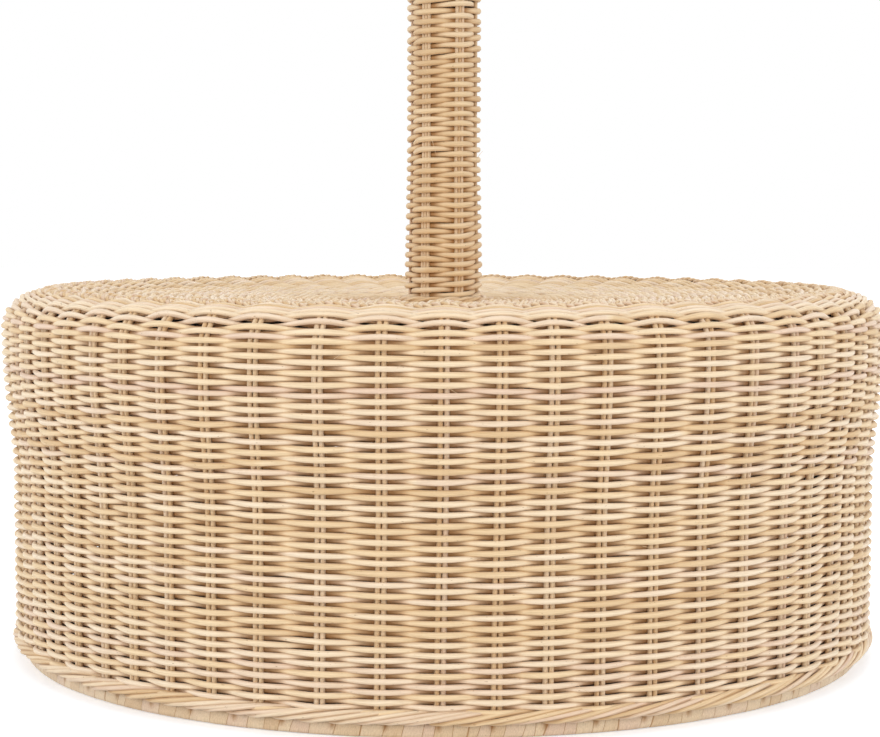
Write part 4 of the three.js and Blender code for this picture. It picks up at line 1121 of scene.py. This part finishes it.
def make_turned_hardware():
    low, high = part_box("finial")
    tall = high.z - low.z
    skin = curve_through([(share * high.x, up * tall) for share, up in FINIAL_SHARES])
    inside = [(0, tall), (0, tall * 0.55), (FINIAL_BORE, tall * 0.55), (FINIAL_BORE, 0)]
    finish_turned("finial", "finial", "brass", np.concatenate([skin, inside]))

    low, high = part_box("bulb_glass")
    tall = high.z - low.z
    skin = curve_through([(share * high.y, up * tall) for share, up in BULB_SHARES])
    finish_turned("bulb_glass", "bulb", "opal_glass", np.concatenate([skin, [(0, 0)]]))

    low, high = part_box("bulb_cap")
    tall = high.z - low.z
    wall = [(high.y, h) for h in np.arange(THREAD_START, tall, THREAD_PITCH / 8)]
    outline = [(0, 0), (4.5 * MM, 0), (5.5 * MM, 1.2 * MM), (high.y - 1 * MM, 3.4 * MM), *wall,
               (high.y, tall), (0, tall)]
    finish_turned("bulb_cap", "bulb", "aluminium", outline, "z", 48, 0, 0, THREAD_PITCH)

    low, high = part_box("stem_cap")
    tall = high.z - low.z
    edge, shoulder = high.y, 0.8 * tall
    moulding = curve_through([(edge - 0.9 * MM, 0), (edge, 0.35 * tall), (edge - 1.6 * MM, shoulder)], 5)
    outline = [(CAP_BORE, 0), *moulding, (edge - 2.2 * MM, shoulder), (edge - 3 * MM, tall),
               (CAP_BORE, tall)]
    finish_turned("stem_cap", "lamp", "brass", outline, "z", 96)

    low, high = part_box("cord_grommet")
    lip, neck, bore, thick = GROMMET
    deep = high.y - low.y
    outline = [(bore, 0.5 * MM), (bore + 0.5 * MM, 0), (lip - SMALL_ROUND, 0), (lip, SMALL_ROUND),
               (lip, thick), (neck, thick), (neck, deep - thick), (lip, deep - thick), (lip, deep),
               (bore, deep)]
    finish_turned("cord_grommet", "lamp", "rubber", outline, "y", 48)

    low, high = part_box("switch_knob")
    long = high.y - low.y
    r = high.x
    outline = [(0, 0), (r - EDGE_ROUND, 0), (r, EDGE_ROUND), (r, long - 2 * MM),
               (r - 1.6 * MM, long - 0.3 * MM), (r * 0.5, long), (0, long)]
    finish_turned("switch_knob", "switch", "phenolic", outline, "y", 72, *KNOB_FLUTES)


dress_hardware()
make_turned_hardware()
make_harp()


# Camera, lights, floor

CAMERA_PLACE = (-2 * MM, -1.13, 0.2322)
CAMERA_PITCH = math.radians(4.194)
CAMERA_ROLL = math.radians(-0.13)
LENS = 84.35
WHITE = (1, 1, 1, 1)
COOL = (0.92, 0.95, 1, 1)
WARM = (1, 0.96, 0.9, 1)
BLUE = (0.6, 0.77, 1, 1)
FLOOR_SIZE = 16
FLOOR_COLOUR = (0.86, 0.86, 0.86, 1)
FLOOR_GLOW = 0.42
WORLD_LIGHT = 0.86
# Square lamps: name, place, height on the axis that it faces, size, power, colour
LAMPS = [
    ("key_light", (-1.6, -2.6, 1.3), 0.6, 2.2, 22.1, WARM),
    ("fill_light", (2.0, -2.4, 1.1), 0.6, 2.2, 17.2, WARM),
    ("back_light", (0.4, 2.8, 1.9), 0.7, 2.2, 27, COOL),
    ("left_light", (-2.4, -0.5, 0.7), 0.3, 1.4, 12, BLUE),
    ("right_light", (2.4, -0.4, 0.7), 0.3, 1.4, 11, BLUE),
]


def make_camera():
    data = bpy.data.cameras.new("camera")
    data.lens = LENS
    data.sensor_width = 36
    camera = add_object("camera", data)
    camera.location = CAMERA_PLACE
    camera.rotation_euler = (math.pi / 2 - CAMERA_PITCH, CAMERA_ROLL, 0)
    bpy.context.scene.camera = camera


def make_lamp(name, place, target_z, size, power, colour):
    data = bpy.data.lights.new(name, "AREA")
    data.color = colour[:3]
    data.shape = "SQUARE"
    data.size = size
    data.energy = power
    light = add_object(name, data)
    light.location = place
    towards = np.array((0, 0, target_z)) - np.array(place)
    light.rotation_euler = Vector(towards).to_track_quat("-Z", "Y").to_euler()
    light.visible_camera = False


def seen_directly(tree):
    """1 for rays from the camera, also by way of metal or glass, and 0 for the light on the object."""
    rays = make_node(tree, "LightPath", {})
    seen = maths(tree, "MAXIMUM", rays.outputs["Is Camera Ray"], rays.outputs["Is Glossy Ray"])
    return maths(tree, "MAXIMUM", seen, rays.outputs["Is Transmission Ray"])


def make_floor():
    bpy.ops.mesh.primitive_plane_add(size=FLOOR_SIZE, location=(0, 0, 0))
    floor = bpy.context.object
    floor.name = "floor"
    material, tree, shader = new_material("floor_white")
    strength = maths(tree, "MULTIPLY", seen_directly(tree), FLOOR_GLOW)
    plug(shader, {"Base Color": FLOOR_COLOUR, "Roughness": 0.9})
    plug(shader, {"Emission Color": WHITE, "Emission Strength": strength})
    floor.data.materials.append(material)


def make_world():
    world = bpy.data.worlds.new("studio")
    bpy.context.scene.world = world
    world.use_nodes = True
    tree = world.node_tree
    seen = seen_directly(tree)
    strength = make_node(tree, "MapRange", {"Value": seen, "To Min": WORLD_LIGHT, "To Max": 1.0})
    colour = blended(tree, seen, COOL, WHITE)
    plug(tree.nodes["Background"], {"Strength": strength.outputs["Result"], "Color": colour})


make_camera()
make_floor()
make_world()
for row in LAMPS:
    make_lamp(*row)

bpy.context.scene.view_settings.view_transform = "Standard"
